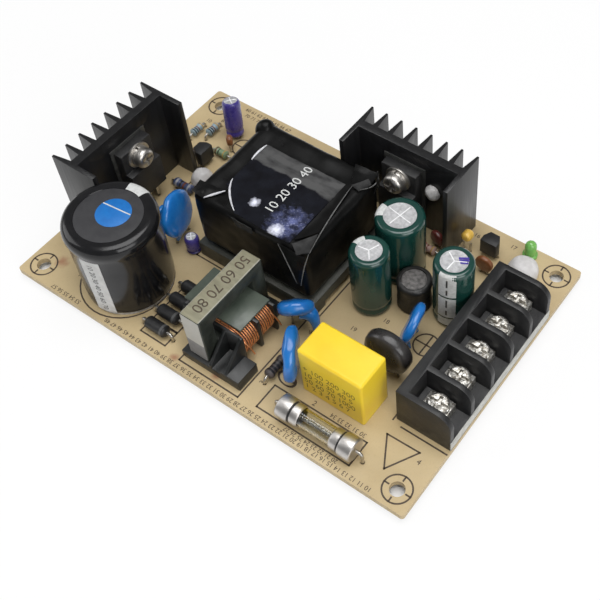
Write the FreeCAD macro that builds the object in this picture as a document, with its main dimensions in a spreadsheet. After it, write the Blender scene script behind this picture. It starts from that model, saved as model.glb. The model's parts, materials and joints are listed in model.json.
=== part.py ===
import FreeCAD, Part
import math
import os

import Sketcher

# Open frame power supply: a circuit board on its solder joints, two finned heatsinks,
# a wrapped transformer, a line choke, capacitors, a fuse and a five way terminal block.
# Millimetres. Origin at the middle of the board, at the tips of the solder joints,
# +X along the long edges towards the terminal block, +Z up.

SIZES = {
    # board
    "board_length": 118.0,
    "board_depth": 77.6,
    "board_thick": 1.6,
    "board_corner_radius": 0.8,
    "mount_span_long": 108.8,
    "mount_span_short": 68.4,
    "mount_hole_radius": 1.8,
    "solder_height": 1.4,
    "solder_flare": 0.6,
    "solder_tip": 0.85,
    "lead_hole_gap": 0.12,
    "seat_gap": 0.05,
    "lead_bend_radius": 0.8,
    # heatsink extrusion
    "sink_width": 31.4,
    "sink_height": 25.6,
    "sink_fin_tip": 0.6,
    "sink_fin_root": 1.5,
    "sink_fin_length": 5.1,
    "sink_plate_thick": 2.3,
    "sink_flange_length": 6.4,
    "sink_flange_thick": 1.3,
    "sink_pin_radius": 0.9,
    "sink_pin_inset": 4.0,
    "primary_sink_tip_x": -56.6,
    "primary_sink_middle_y": -4.1,
    "secondary_sink_tip_y": 36.8,
    "secondary_sink_middle_x": 13.7,
    # power devices on the heatsinks
    "device_width": 10.2,
    "device_body_height": 9.2,
    "device_tab_height": 6.4,
    "device_body_thick": 4.5,
    "device_tab_thick": 2.6,
    "device_lift": 4.9,
    "device_hole_radius": 1.75,
    "device_hole_drop": 2.9,
    "device_lead_pitch": 2.54,
    "device_lead_width": 0.8,
    "device_lead_thick": 0.5,
    "device_lead_setback": 2.4,
    "device_pad_margin": 0.9,
    "device_pad_thick": 0.3,
    "primary_device_offset": 1.0,
    "secondary_device_offset": -0.7,
    "screw_head_radius": 2.7,
    "screw_head_height": 2.2,
    "screw_head_round": 1.2,
    "screw_shank_radius": 1.45,
    "screw_recess_width": 0.7,
    "screw_recess_length": 3.5,
    "screw_recess_depth": 1.0,
    "flat_washer_radius": 3.5,
    "flat_washer_thick": 0.5,
    "spring_washer_radius": 2.75,
    "spring_washer_thick": 0.8,
    "spring_washer_split": 0.5,
    # bulk capacitor
    "bulk_x": -32.5,
    "bulk_y": -25.2,
    "bulk_radius": 11.1,
    "bulk_height": 24.8,
    "bulk_sleeve_wall": 0.3,
    "bulk_rim_width": 2.2,
    "bulk_disc_thick": 0.4,
    "bulk_sticker_radius": 4.3,
    "bulk_sticker_offset_x": 0.6,
    "bulk_sticker_offset_y": 1.1,
    "film_thick": 0.1,
    "bulk_label_height": 20.2,
    "bulk_label_lift": 1.3,
    "bulk_label_turn": 271.0,
    "bulk_label_sweep": 26.0,
    "bulk_lead_pitch": 10.0,
    "bulk_lead_radius": 0.75,
    # transformer
    "former_x": -5.4,
    "former_y": 5.9,
    "former_length": 34.0,
    "former_depth": 28.6,
    "former_height": 23.5,
    "tape_thick": 0.5,
    "tape_lift": 5.6,
    "tape_fold_width": 4.6,
    "tape_corner_radius": 1.2,
    "former_core_height": 12.0,
    "former_core_leg": 4.4,
    "former_core_lift": 6.4,
    "former_post_width": 10.0,
    "former_post_height": 6.0,
    "former_wall": 0.8,
    "former_winding_wall": 5.2,
    "former_base_rim": 0.9,
    "former_base_height": 4.8,
    "former_rail_height": 1.5,
    "former_rail_width": 5.0,
    "former_pin_pitch": 5.4,
    "former_pin_radius": 0.4,
    "former_label_length": 22.0,
    "former_label_depth": 18.0,
    # line choke
    "choke_x": -1.5,
    "choke_y": -22.9,
    "choke_core_width": 5.9,
    "choke_core_length": 22.2,
    "choke_core_height": 15.3,
    "choke_core_bar": 4.1,
    "choke_core_lift": 2.9,
    "choke_core_round": 0.6,
    "choke_tube_wall": 0.8,
    "choke_coil_width": 17.6,
    "choke_coil_height": 9.2,
    "choke_coil_length": 4.8,
    "choke_divider_thick": 1.0,
    "choke_coil_shift": 0.9,
    "choke_wire_relief": 0.25,
    "choke_flange_thick": 0.8,
    "choke_flange_margin": 0.1,
    "choke_flange_rise": 0.35,
    "choke_plate_thick": 0.6,
    "choke_plate_length": 17.1,
    "choke_plate_depth": 10.6,
    "choke_plate_shift": -1.15,
    "choke_foot_height": 2.3,
    "choke_rib_thick": 0.8,
    "choke_rib_gap": 0.5,
    "choke_foot_length": 17.5,
    "choke_foot_shift": 3.65,
    "choke_foot_overhang": 0.7,
    "choke_back_foot_length": 11.6,
    "choke_back_foot_shift": 0.7,
    "choke_pin_inset": 2.0,
    "choke_block_length": 5.6,
    "choke_block_height": 3.4,
    "choke_pin_radius": 0.4,
    # yellow film capacitor
    "film_cap_x": 30.95,
    "film_cap_y": -21.15,
    "film_cap_length": 17.5,
    "film_cap_depth": 9.5,
    "film_cap_height": 16.0,
    "film_cap_round": 0.7,
    "film_cap_pitch": 15.0,
    "lead_radius": 0.4,
    "thin_lead_radius": 0.3,
    # fuse
    "fuse_x": 32.7,
    "fuse_y": -33.3,
    "fuse_lift": 3.5,
    "fuse_length": 20.6,
    "fuse_glass_radius": 2.3,
    "fuse_glass_wall": 0.5,
    "fuse_cap_radius": 2.6,
    "fuse_cap_length": 6.0,
    "fuse_outer_cap_radius": 2.9,
    "fuse_outer_cap_length": 3.4,
    "fuse_cap_wall": 0.25,
    "fuse_element_radius": 0.5,
    "fuse_lead_reach": 1.6,
    # blue disc capacitors
    "disc_lead_pitch": 5.0,
    "disc_a_x": 11.1,
    "disc_a_clearance": 4.7,
    "disc_a_lift": 8.0,
    "disc_a_radius": 4.5,
    "disc_a_thick": 4.0,
    "disc_b_x": 18.2,
    "disc_b_y": -23.8,
    "disc_b_lift": 8.2,
    "disc_b_radius": 6.4,
    "disc_b_thick": 3.5,
    "disc_c_x": 36.2,
    "disc_c_y": -1.4,
    "disc_c_lift": 8.0,
    "disc_c_radius": 5.4,
    "disc_c_thick": 2.8,
    "disc_d_x": -31.2,
    "disc_d_y": -7.5,
    "disc_d_lift": 8.8,
    "disc_d_radius": 6.2,
    "disc_d_thick": 3.4,
    # thermistor
    "thermistor_x": 36.0,
    "thermistor_y": -11.0,
    "thermistor_lift": 8.3,
    "thermistor_radius": 6.1,
    "thermistor_thick": 5.0,
    "thermistor_pitch": 5.0,
    # green output capacitors
    "output_height": 20.0,
    "output_sleeve_wall": 0.25,
    "output_rim_width": 1.6,
    "output_lead_pitch": 5.0,
    "output_a_x": 21.2,
    "output_a_y": 2.9,
    "output_a_radius": 4.9,
    "output_b_x": 21.2,
    "output_b_y": 15.4,
    "output_b_radius": 6.1,
    "output_c_x": 39.1,
    "output_c_y": 11.1,
    "output_c_radius": 4.9,
    # drum inductor
    "drum_x": 29.7,
    "drum_y": 8.6,
    "drum_radius": 3.95,
    "drum_height": 8.6,
    "drum_waist_radius": 2.0,
    "drum_flange_thick": 1.6,
    "drum_sleeve_wall": 0.4,
    "drum_sleeve_lip": 0.8,
    # terminal block
    "block_back_x": 44.6,
    "block_middle_y": 1.0,
    "block_depth": 14.4,
    "block_height": 12.0,
    "block_pitch": 8.25,
    "block_wall": 1.4,
    "block_back_wall": 2.6,
    "block_front_skin": 0.2,
    "block_seat_height": 5.1,
    "block_floor_height": 2.9,
    "block_floor_depth": 4.4,
    "block_corner_round": 4.0,
    "block_label_height": 2.8,
    "block_label_lift": 0.4,
    "block_lip_thick": 0.8,
    "block_plate_length": 6.4,
    "block_plate_thick": 0.8,
    "block_plate_margin": 0.5,
    "block_screw_setback": 6.6,
    "block_screw_radius": 2.65,
    "block_screw_height": 2.2,
    "block_screw_round": 0.65,
    "block_screw_depth": 3.4,
    "block_well_depth": 3.8,
    "block_screw_slot_width": 0.8,
    "block_screw_slot_depth": 1.1,
    "block_screw_cross_length": 3.2,
    "block_pin_radius": 0.7,
    # rectifier diodes beside the choke
    "diode_x": -16.0,
    "diode_radius": 1.6,
    "diode_length": 6.4,
    "diode_lift": 0.5,
    "diode_reach": 1.5,
    "diode_row_y": -33.0,
    "diode_row_pitch": 4.3,
    # small axial parts
    "resistor_radius": 1.15,
    "resistor_length": 4.0,
    "resistor_lift": 0.4,
    "resistor_reach": 1.2,
    "large_resistor_radius": 1.3,
    "large_resistor_length": 6.2,
    # small round capacitors
    "violet_cap_radius": 2.5,
    "violet_cap_height": 11.0,
    "violet_cap_lift": 0.9,
    "violet_cap_x": -43.0,
    "violet_cap_y": 27.4,
    "violet_cap_lean": 11.0,
    "violet_cap_lean_way": 37.8,
    "violet_sleeve_wall": 0.15,
    "violet_rim_width": 0.6,
    "small_cap_radius": 1.9,
    "small_cap_height": 5.6,
    "small_cap_x": -25.6,
    "small_cap_y": -9.4,
    "small_lead_pitch": 2.0,
    # small dipped and moulded parts
    "bead_x": 31.6,
    "bead_y": 29.2,
    "bead_lift": 4.0,
    "bead_radius": 1.5,
    "small_disc_radius": 2.4,
    "small_disc_thick": 1.8,
    "small_disc_lift": 3.4,
    "moulded_width": 4.6,
    "moulded_depth": 3.6,
    "moulded_height": 4.6,
    "moulded_nose_width": 2.6,
    "moulded_lift": 1.4,
    "moulded_pitch": 2.0,
    # indicator lamp
    "lamp_x": 45.7,
    "lamp_y": 36.2,
    "lamp_radius": 1.5,
    "lamp_flange_radius": 1.9,
    "lamp_flange_thick": 1.0,
    "lamp_height": 5.2,
    "lamp_dome_round": 1.44,
    "lamp_lead_pitch": 2.0,
    # silicone beads
    "blob_a_x": 47.0,
    "blob_a_y": 30.3,
    "blob_a_radius": 4.0,
    "blob_a_height": 4.6,
    "blob_b_x": -39.4,
    "blob_b_y": 9.4,
    "blob_b_radius": 3.0,
    "blob_b_height": 4.2,
    "blob_c_x": 21.6,
    "blob_c_lift": 15.4,
    "blob_c_radius": 2.4,
    "blob_c_height": 2.2,
}

FIN_COUNT = 8
POLE_COUNT = 5
TRANSFORMER_PINS_PER_ROW = 5
CHOKE_TURNS = 8
DIODE_COUNT = 4

# Roundings that follow the thickness or the width beside them, as shares of it.
COIN_ROUND = 0.9
RIM_ROUND = 0.55
CAP_ROUND = 0.8
SLEEVE_ROUND = 0.7

doc = FreeCAD.newDocument("PowerSupply")
sheet = doc.addObject("Spreadsheet::Sheet", "Sizes")
for row, (alias, number) in enumerate(SIZES.items(), start=1):
    sheet.set(f"A{row}", alias)
    sheet.set(f"B{row}", str(number))
    sheet.setAlias(f"B{row}", alias)
doc.recompute()


class Dim:
    """A size: its number now and the sheet expression behind it."""

    def __init__(self, value, text):
        self.value = value
        self.text = text

    def _join(self, other, sign, value):
        return Dim(value, f"({self.text} {sign} {dim(other).text})")

    def __add__(self, other):
        return self._join(other, "+", self.value + dim(other).value)

    def __sub__(self, other):
        return self._join(other, "-", self.value - dim(other).value)

    def __mul__(self, other):
        return self._join(other, "*", self.value * dim(other).value)

    def __truediv__(self, other):
        return self._join(other, "/", self.value / dim(other).value)

    def __radd__(self, other):
        return dim(other) + self

    def __rsub__(self, other):
        return dim(other) - self

    def __rmul__(self, other):
        return dim(other) * self

    def __neg__(self):
        return Dim(-self.value, f"(0 - {self.text})")


def dim(value):
    """A number or a size, as a size."""
    return value if isinstance(value, Dim) else Dim(float(value), f"({float(value)!r})")


class Names:
    """The sheet's cells by name, each as a size."""

    def __getattr__(self, alias):
        return Dim(float(getattr(sheet, alias)), f"Sizes.{alias}")


S = Names()
TOP = S.solder_height + S.board_thick
UNDER = S.solder_height
V = FreeCAD.Vector
UPRIGHT = FreeCAD.Rotation()
ALONG_X = FreeCAD.Rotation(V(0, 1, 0), 90)
ALONG_Y = FreeCAD.Rotation(V(1, 0, 0), -90)
TOWARDS_FRONT = FreeCAD.Rotation(V(1, 0, 0), 90)
QUARTER_TURN = FreeCAD.Rotation(V(0, 0, 1), 90)

nodes = {}
pins = []


def place(obj, x, y, z, rotation=UPRIGHT):
    """Put an object at a point whose coordinates stay bound to the sheet."""
    spot = [dim(x), dim(y), dim(z)]
    obj.Placement = FreeCAD.Placement(V(*[c.value for c in spot]), rotation)
    for axis, c in zip("xyz", spot):
        obj.setExpression(f"Placement.Base.{axis}", c.text)
    return obj


def bind(obj, **sizes):
    """Set an object's sizes from the sheet."""
    for prop, size in sizes.items():
        obj.setExpression(prop, dim(size).text)
    return obj


def box(name, size, corner):
    """A block from its size and its lowest corner."""
    obj = bind(doc.addObject("Part::Box", name), Length=size[0], Width=size[1], Height=size[2])
    return place(obj, *corner)


def rod(name, radius, length, start, rotation=UPRIGHT):
    """A round bar from the middle of its first end."""
    obj = bind(doc.addObject("Part::Cylinder", name), Radius=radius, Height=length)
    return place(obj, *start, rotation)


def fuse(name, pieces):
    """One solid from pieces that overlap or share a face."""
    obj = doc.addObject("Part::MultiFuse", name)
    obj.Shapes = pieces
    obj.Refine = True
    return obj


def cut(name, base, tools):
    """A piece with other shapes taken away from it."""
    obj = doc.addObject("Part::Cut", name)
    obj.Base = base
    obj.Tool = tools[0] if len(tools) == 1 else fuse(name + "_tools", tools)
    return obj


def node(label, pieces):
    """Name a sub-part: one object, or a group of separate solids."""
    if isinstance(pieces, list):
        obj = doc.addObject("Part::Compound", "Group_" + label)
        obj.Links = pieces
    else:
        obj = pieces
    obj.Label = label
    nodes[label] = obj
    return obj


def origin_plane(body, role):
    """One of a body's own origin planes."""
    return next(f for f in body.Origin.OriginFeatures if f.Role == role)


def outline(body, role, points, name="Outline"):
    """A closed outline of straight edges on one of the body's planes, each corner bound."""
    sketch = body.newObject("Sketcher::SketchObject", name)
    sketch.AttachmentSupport = [(origin_plane(body, role), "")]
    sketch.MapMode = "FlatFace"
    corners = [(dim(u), dim(v)) for u, v in points]
    count = len(corners)
    spots = [V(u.value, v.value, 0) for u, v in corners]
    lines = [Part.LineSegment(spots[i], spots[(i + 1) % count]) for i in range(count)]
    sketch.addGeometry(lines, False)
    rules = [Sketcher.Constraint("Coincident", i, 2, (i + 1) % count, 1) for i in range(count)]
    bound = []
    for i, (u, v) in enumerate(corners):
        for kind, size, axis in (("DistanceX", u, -2), ("DistanceY", v, -1)):
            if size.text == "(0.0)":
                rules.append(Sketcher.Constraint("PointOnObject", i, 1, axis))
            else:
                bound.append((len(rules), size))
                rules.append(Sketcher.Constraint(kind, -1, 1, i, 1, size.value))
    sketch.addConstraint(rules)
    for index, size in bound:
        sketch.setExpression(f"Constraints[{index}]", size.text)
    return sketch


def circles(body, role, spots, name="Circles"):
    """Circles on one of the body's planes: each spot is (u, v, radius)."""
    sketch = body.newObject("Sketcher::SketchObject", name)
    sketch.AttachmentSupport = [(origin_plane(body, role), "")]
    sketch.MapMode = "FlatFace"
    rules = []
    bound = []
    for i, spot in enumerate(spots):
        u, v, radius = (dim(c) for c in spot)
        centre = V(u.value, v.value, 0)
        sketch.addGeometry(Part.Circle(centre, V(0, 0, 1), radius.value), False)
        bound += [(len(rules), u), (len(rules) + 1, v), (len(rules) + 2, radius)]
        rules.append(Sketcher.Constraint("DistanceX", -1, 1, i, 3, u.value))
        rules.append(Sketcher.Constraint("DistanceY", -1, 1, i, 3, v.value))
        rules.append(Sketcher.Constraint("Radius", i, radius.value))
    sketch.addConstraint(rules)
    for index, size in bound:
        sketch.setExpression(f"Constraints[{index}]", size.text)
    return sketch


def pad(body, sketch, length, name="Pad", both_ways=False):
    """The sketch drawn out to a length."""
    feature = body.newObject("PartDesign::Pad", name)
    feature.Profile = sketch
    bind(feature, Length=length)
    feature.Midplane = both_ways
    return feature


def round_edges(body, feature, radius, chosen):
    """A fillet on the edges of the body that are chosen by their shape."""
    doc.recompute()
    names = [f"Edge{i}" for i, e in enumerate(feature.Shape.Edges, start=1) if chosen(e)]
    fillet = body.newObject("PartDesign::Fillet", "Round")
    fillet.Base = (feature, names)
    bind(fillet, Radius=radius)
    return fillet


def upright_edge(edge):
    """True for a straight edge along Z."""
    ends = [v.Point for v in edge.Vertexes]
    return len(ends) == 2 and math.hypot(ends[0].x - ends[1].x, ends[0].y - ends[1].y) < 1e-6


def ring_edge(radius, level):
    """A test for the circular edge of a turned piece at a radius and a level."""
    r, z = dim(radius).value, dim(level).value

    def test(edge):
        return (
            isinstance(edge.Curve, Part.Circle)
            and abs(edge.Curve.Radius - r) < 1e-4
            and abs(edge.Curve.Center.z - z) < 1e-4
        )

    return test


def turned(name, points, rounds=(), angle=360):
    """A piece turned about Z from half its outline; rounds are (corner indexes, radius)."""
    body = doc.addObject("PartDesign::Body", name)
    sketch = outline(body, "XZ_Plane", points)
    feature = body.newObject("PartDesign::Revolution", "Revolution")
    feature.Profile = sketch
    feature.ReferenceAxis = (sketch, ["V_Axis"])
    feature.Angle = angle
    for indexes, radius in rounds:
        tests = [ring_edge(*points[i]) for i in indexes]
        feature = round_edges(body, feature, radius, lambda e: any(t(e) for t in tests))
    body.Tip = feature
    return body


def coin(name, radius, thick, centre, rotation):
    """A disc with a full round edge about its centre, its axis turned from Z."""
    half = dim(thick) / 2
    points = [(0, -half), (radius, -half), (radius, half), (0, half)]
    return place(turned(name, points, [((1, 2), half * COIN_ROUND)]), *centre, rotation)


def can_and_sleeve(name, radius, height, wall, rim, can_height=None):
    """A can and the shrink sleeve that folds over its rim, both standing at the origin.

    The radius and the height are those of the sleeve; without a can height the can fills it.
    """
    top = dim(height) - wall
    edge = dim(rim) * RIM_ROUND
    can_radius = radius - wall - S.seat_gap
    can_points = [(0, 0), (can_radius, 0), (can_radius, top), (0, top)]
    sleeve_in = radius - wall
    sleeve_points = [(sleeve_in, 0), (radius, 0), (radius, height)]
    sleeve_points += [(can_radius - rim, height), (can_radius - rim, top), (sleeve_in, top)]
    can = turned(name + "_can", can_points, [((2,), edge)])
    return can, turned(name + "_sleeve", sleeve_points, [((5,), edge), ((2,), edge + wall)])


def pin(name, x, y, radius, start):
    """A straight lead from a height down through the board, with its hole and joint."""
    pins.append((x, y, radius))
    return rod(name, radius, dim(start) - UNDER, (x, y, UNDER))


def bent_lead(name, radius, body_end, foot, level):
    """A lead that leaves a body along X or Y and turns down into the board."""
    (bx, by), (fx, fy) = body_end, foot
    pins.append((fx, fy, radius))
    bend = S.lead_bend_radius
    along_x = abs(dim(fy).value - dim(by).value) < 1e-9
    run = (dim(fx) - bx) if along_x else (dim(fy) - by)
    sign = 1 if run.value > 0 else -1
    outward = V(sign, 0, 0) if along_x else V(0, sign, 0)
    corner_x = fx - bend * sign if along_x else dim(fx)
    corner_y = dim(fy) if along_x else fy - bend * sign
    turn = ALONG_X if along_x else ALONG_Y
    start = (bx, by, level) if sign > 0 else (corner_x, corner_y, level)
    elbow = doc.addObject("Part::Torus", name + "_bend")
    bind(elbow, Radius1=bend, Radius2=radius, Angle3=90)
    aim = FreeCAD.Rotation(outward, V(0, 0, 1), outward.cross(V(0, 0, 1)), "XYZ")
    place(elbow, corner_x, corner_y, dim(level) - bend, aim)
    parts = [
        rod(name + "_run", radius, run * sign - bend, start, turn),
        elbow,
        rod(name + "_drop", radius, dim(level) - bend - UNDER, (fx, fy, UNDER)),
    ]
    return fuse(name, parts)


# Heatsinks: one extrusion profile, tips of the fins away from the board's middle.
def sink_profile():
    """Corners of the extrusion: flange edges at v = 0, fin tips at v = the full depth."""
    half = S.sink_width / 2
    plate = S.sink_flange_length
    back = plate + S.sink_plate_thick
    tips = back + S.sink_fin_length
    pitch = (S.sink_width - S.sink_fin_tip) / (FIN_COUNT - 1)
    corners = [(-half, 0), (-half, tips), (S.sink_fin_tip - half, tips)]
    corners.append((S.sink_fin_root - half, back))
    for i in range(1, FIN_COUNT - 1):
        middle = S.sink_fin_tip / 2 - half + pitch * i
        corners.append((middle - S.sink_fin_root / 2, back))
        corners.append((middle - S.sink_fin_tip / 2, tips))
        corners.append((middle + S.sink_fin_tip / 2, tips))
        corners.append((middle + S.sink_fin_root / 2, back))
    corners.append((half - S.sink_fin_root, back))
    corners += [(half - S.sink_fin_tip, tips), (half, tips), (half, 0)]
    corners += [(half - S.sink_flange_thick, 0), (half - S.sink_flange_thick, plate)]
    corners += [(S.sink_flange_thick - half, plate), (S.sink_flange_thick - half, 0)]
    return corners


SINK_DEPTH = S.sink_flange_length + S.sink_plate_thick + S.sink_fin_length


def heatsink(label, x, y, turn, hole_u):
    """A finned extrusion standing on the board, its plate drilled for the device screw."""
    body = doc.addObject("PartDesign::Body", label + "_body")
    extrusion = pad(body, outline(body, "XY_Plane", sink_profile()), S.sink_height)
    hole_z = device_hole_level() - TOP
    spot = circles(body, "XZ_Plane", [(hole_u, hole_z, S.screw_shank_radius + S.seat_gap)], "Hole")
    drill = body.newObject("PartDesign::Pocket", "ScrewHole")
    drill.Profile = spot
    drill.Type = "ThroughAll"
    drill.Midplane = True
    body.Tip = drill
    return node(label, place(body, x, y, TOP, turn))


def device_hole_level():
    """Height of the screw above the origin plane."""
    tall = S.device_lift + S.device_body_height + S.device_tab_height
    return TOP + tall - S.device_hole_drop


# Power devices: moulded body with a thinner drilled tab, three leads, screw and washers.
def power_device(label, u, frame):
    """Pad, device, leads, washers and screw in front of a heatsink plate.

    The local frame has U along the plate, V out of the plate's front face, Z up.
    """
    turn, to_world = frame
    pad_t = S.device_pad_thick
    low = TOP + S.device_lift
    half = S.device_width / 2
    tall = S.device_body_height + S.device_tab_height
    hole = device_hole_level()

    def block(name, size, u0, v0, z0):
        obj = bind(doc.addObject("Part::Box", name), Length=size[0], Width=size[1], Height=size[2])
        return place(obj, *to_world(u0, v0), z0, turn)

    def barrel(name, radius, length, v0):
        spin = turn.multiply(ALONG_Y)
        return rod(name, radius, length, (*to_world(u, v0), hole), spin)

    margin = S.device_pad_margin
    sheet_size = (S.device_width + margin * 2, pad_t, tall + margin * 2)
    pad_sheet = block(label + "_pad_sheet", sheet_size, u - half - margin, 0, low - margin)
    through = barrel(label + "_pad_hole", S.device_hole_radius, pad_t, 0)
    node(label + "_pad", cut(label + "_pad_cut", pad_sheet, [through]))

    lower_size = (S.device_width, S.device_body_thick, S.device_body_height)
    lower = block(label + "_lower", lower_size, u - half, pad_t, low)
    upper_size = (S.device_width, S.device_tab_thick, tall)
    upper = block(label + "_upper", upper_size, u - half, pad_t, low)
    bore = barrel(label + "_bore", S.device_hole_radius, S.device_tab_thick, pad_t)
    moulding = cut(label + "_moulding", fuse(label + "_whole", [lower, upper]), [bore])
    node(label, moulding)

    leads = []
    for k in (-1, 0, 1):
        lead_u = u + S.device_lead_pitch * k
        v0 = pad_t + S.device_lead_setback
        wide = (S.device_lead_width, S.device_lead_thick, low - UNDER)
        name = f"{label}_lead_{k + 2}"
        leads.append(block(name, wide, lead_u - S.device_lead_width / 2, v0, UNDER))
        x, y = to_world(lead_u, v0 + S.device_lead_thick / 2)
        pins.append((x, y, S.device_lead_width / 2))
    node(label + "_leads", leads)

    face = pad_t + S.device_tab_thick
    flat = barrel(label + "_flat", S.flat_washer_radius, S.flat_washer_thick, face)
    flat_bore = barrel(label + "_flat_bore", S.device_hole_radius, S.flat_washer_thick, face)
    spring_v = face + S.flat_washer_thick
    ring = barrel(label + "_ring", S.spring_washer_radius, S.spring_washer_thick, spring_v)
    ring_bore = barrel(label + "_ring_bore", S.device_hole_radius, S.spring_washer_thick, spring_v)
    split_size = (S.spring_washer_split, S.spring_washer_thick, S.flat_washer_radius)
    split = block(label + "_split", split_size, u, spring_v, hole)
    washers = [
        cut(label + "_flat_washer", flat, [flat_bore]),
        cut(label + "_spring_washer", ring, [ring_bore, split]),
    ]
    head_v = spring_v + S.spring_washer_thick
    screw = turned(
        label + "_screw_body",
        [
            (0, -head_v - S.sink_plate_thick),
            (S.screw_shank_radius, -head_v - S.sink_plate_thick),
            (S.screw_shank_radius, 0),
            (S.screw_head_radius, 0),
            (S.screw_head_radius, S.screw_head_height),
            (0, S.screw_head_height),
        ],
        [((4,), S.screw_head_round)],
    )
    place(screw, *to_world(u, head_v), hole, turn.multiply(ALONG_Y))
    width = S.screw_recess_width
    reach = S.screw_recess_length
    tall = S.screw_head_height
    end_v = head_v + S.screw_head_height - S.screw_recess_depth
    slots = [
        block(label + "_slot_a", (width, tall, reach), u - width / 2, end_v, hole - reach / 2),
        block(label + "_slot_b", (reach, tall, width), u - reach / 2, end_v, hole - width / 2),
    ]
    return washers, cut(label + "_screw", screw, slots)


PRIMARY_PLATE_X = S.primary_sink_tip_x + S.sink_fin_length + S.sink_plate_thick
SECONDARY_PLATE_Y = S.secondary_sink_tip_y - S.sink_fin_length - S.sink_plate_thick


def primary_spot(u, v):
    """A point in front of the primary plate: U runs towards -Y, V towards +X."""
    return PRIMARY_PLATE_X + v, S.primary_sink_middle_y - u


def secondary_spot(u, v):
    """A point in front of the secondary plate: U runs towards -X, V towards -Y."""
    return S.secondary_sink_middle_x - u, SECONDARY_PLATE_Y - v


heatsink(
    "primary_heatsink",
    S.primary_sink_tip_x + SINK_DEPTH,
    S.primary_sink_middle_y,
    QUARTER_TURN,
    S.primary_device_offset,
)
heatsink(
    "secondary_heatsink",
    S.secondary_sink_middle_x,
    S.secondary_sink_tip_y - SINK_DEPTH,
    UPRIGHT,
    S.secondary_device_offset,
)
primary_frame = (QUARTER_TURN.inverted(), primary_spot)
secondary_frame = (FreeCAD.Rotation(V(0, 0, 1), 180), secondary_spot)
washers_a, screw_a = power_device("primary_switch", -S.primary_device_offset, primary_frame)
washers_b, screw_b = power_device("output_rectifier", -S.secondary_device_offset, secondary_frame)
node("device_washers", washers_a + washers_b)
node("device_screws", [screw_a, screw_b])

# Each heatsink is held by two pins near the ends of its plate.
sink_pins = []
pin_u = S.sink_width / 2 - S.sink_pin_inset
for sign in (-1, 1):
    middle_v = S.sink_plate_thick * -0.5
    spots = (primary_spot(pin_u * sign, middle_v), secondary_spot(pin_u * sign, middle_v))
    for k, (x, y) in enumerate(spots):
        sink_pins.append(pin(f"sink_pin_{k}_{sign + 1}", x, y, S.sink_pin_radius, TOP))
node("heatsink_pins", sink_pins)


# Bulk capacitor: can in a shrink sleeve that folds over the rim, top disc, two stickers.
bulk_spot = (S.bulk_x, S.bulk_y, TOP)
can, sleeve = can_and_sleeve(
    "bulk", S.bulk_radius, S.bulk_height, S.bulk_sleeve_wall, S.bulk_rim_width
)
node("bulk_capacitor_can", place(can, *bulk_spot))
node("bulk_capacitor_sleeve", place(sleeve, *bulk_spot))
can_top = S.bulk_height - S.bulk_sleeve_wall
rim_in = S.bulk_radius - S.bulk_sleeve_wall - S.seat_gap - S.bulk_rim_width
disc_spot = (S.bulk_x, S.bulk_y, TOP + can_top)
top_disc = rod("bulk_disc", rim_in - S.seat_gap, S.bulk_disc_thick, disc_spot)
disc_top = TOP + can_top + S.bulk_disc_thick
node("bulk_capacitor_disc", top_disc)
sticker_x = S.bulk_x + S.bulk_sticker_offset_x
sticker_y = S.bulk_y + S.bulk_sticker_offset_y
sticker = rod("sticker", S.bulk_sticker_radius, S.film_thick, (sticker_x, sticker_y, disc_top))
node("bulk_capacitor_sticker", sticker)
label_low = TOP + S.bulk_label_lift
outer = bind(
    doc.addObject("Part::Cylinder", "label_outer"),
    Radius=S.bulk_radius + S.film_thick,
    Height=S.bulk_label_height,
    Angle=S.bulk_label_sweep,
)
facing = FreeCAD.Rotation(V(0, 0, 1), S.bulk_label_turn.value)
place(outer, S.bulk_x, S.bulk_y, label_low, facing)
inner = rod("label_inner", S.bulk_radius, S.bulk_label_height, (S.bulk_x, S.bulk_y, label_low))
node("bulk_capacitor_label", cut("bulk_label", outer, [inner]))
bulk_leads = []
for sign in (-1, 1):
    lead_x = S.bulk_x + S.bulk_lead_pitch / 2 * sign
    bulk_leads.append(pin(f"bulk_pin_{sign + 1}", lead_x, S.bulk_y, S.bulk_lead_radius, TOP))
node("bulk_capacitor_pins", bulk_leads)


# Transformer: base with pin rails and tube, ring core with a post, winding, tape wrap.
def former_box(name, size, lift, shift=(0, 0)):
    """A block centred on the transformer's middle at a height above the board."""
    x = S.former_x - dim(size[0]) / 2 + shift[0]
    y = S.former_y - dim(size[1]) / 2 + shift[1]
    return box(name, size, (x, y, TOP + lift))


tape = S.tape_thick
inside_x = S.former_length - tape * 2
inside_y = S.former_depth - tape * 2
core_lift = S.former_core_lift
core_tall = S.former_core_height
window_x = inside_x - S.former_core_leg * 2
window_y = inside_y - S.former_core_leg * 2
post_x = S.former_post_width
post_z = S.former_post_height
ring = cut(
    "core_ring",
    former_box("core_block", (inside_x, inside_y, core_tall), core_lift),
    [former_box("core_window", (window_x, window_y, core_tall), core_lift)],
)
post_lift = core_lift + (core_tall - post_z) / 2
post = former_box("core_post", (post_x, window_y, post_z), post_lift)
node("transformer_core", fuse("transformer_core_whole", [ring, post]))

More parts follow.
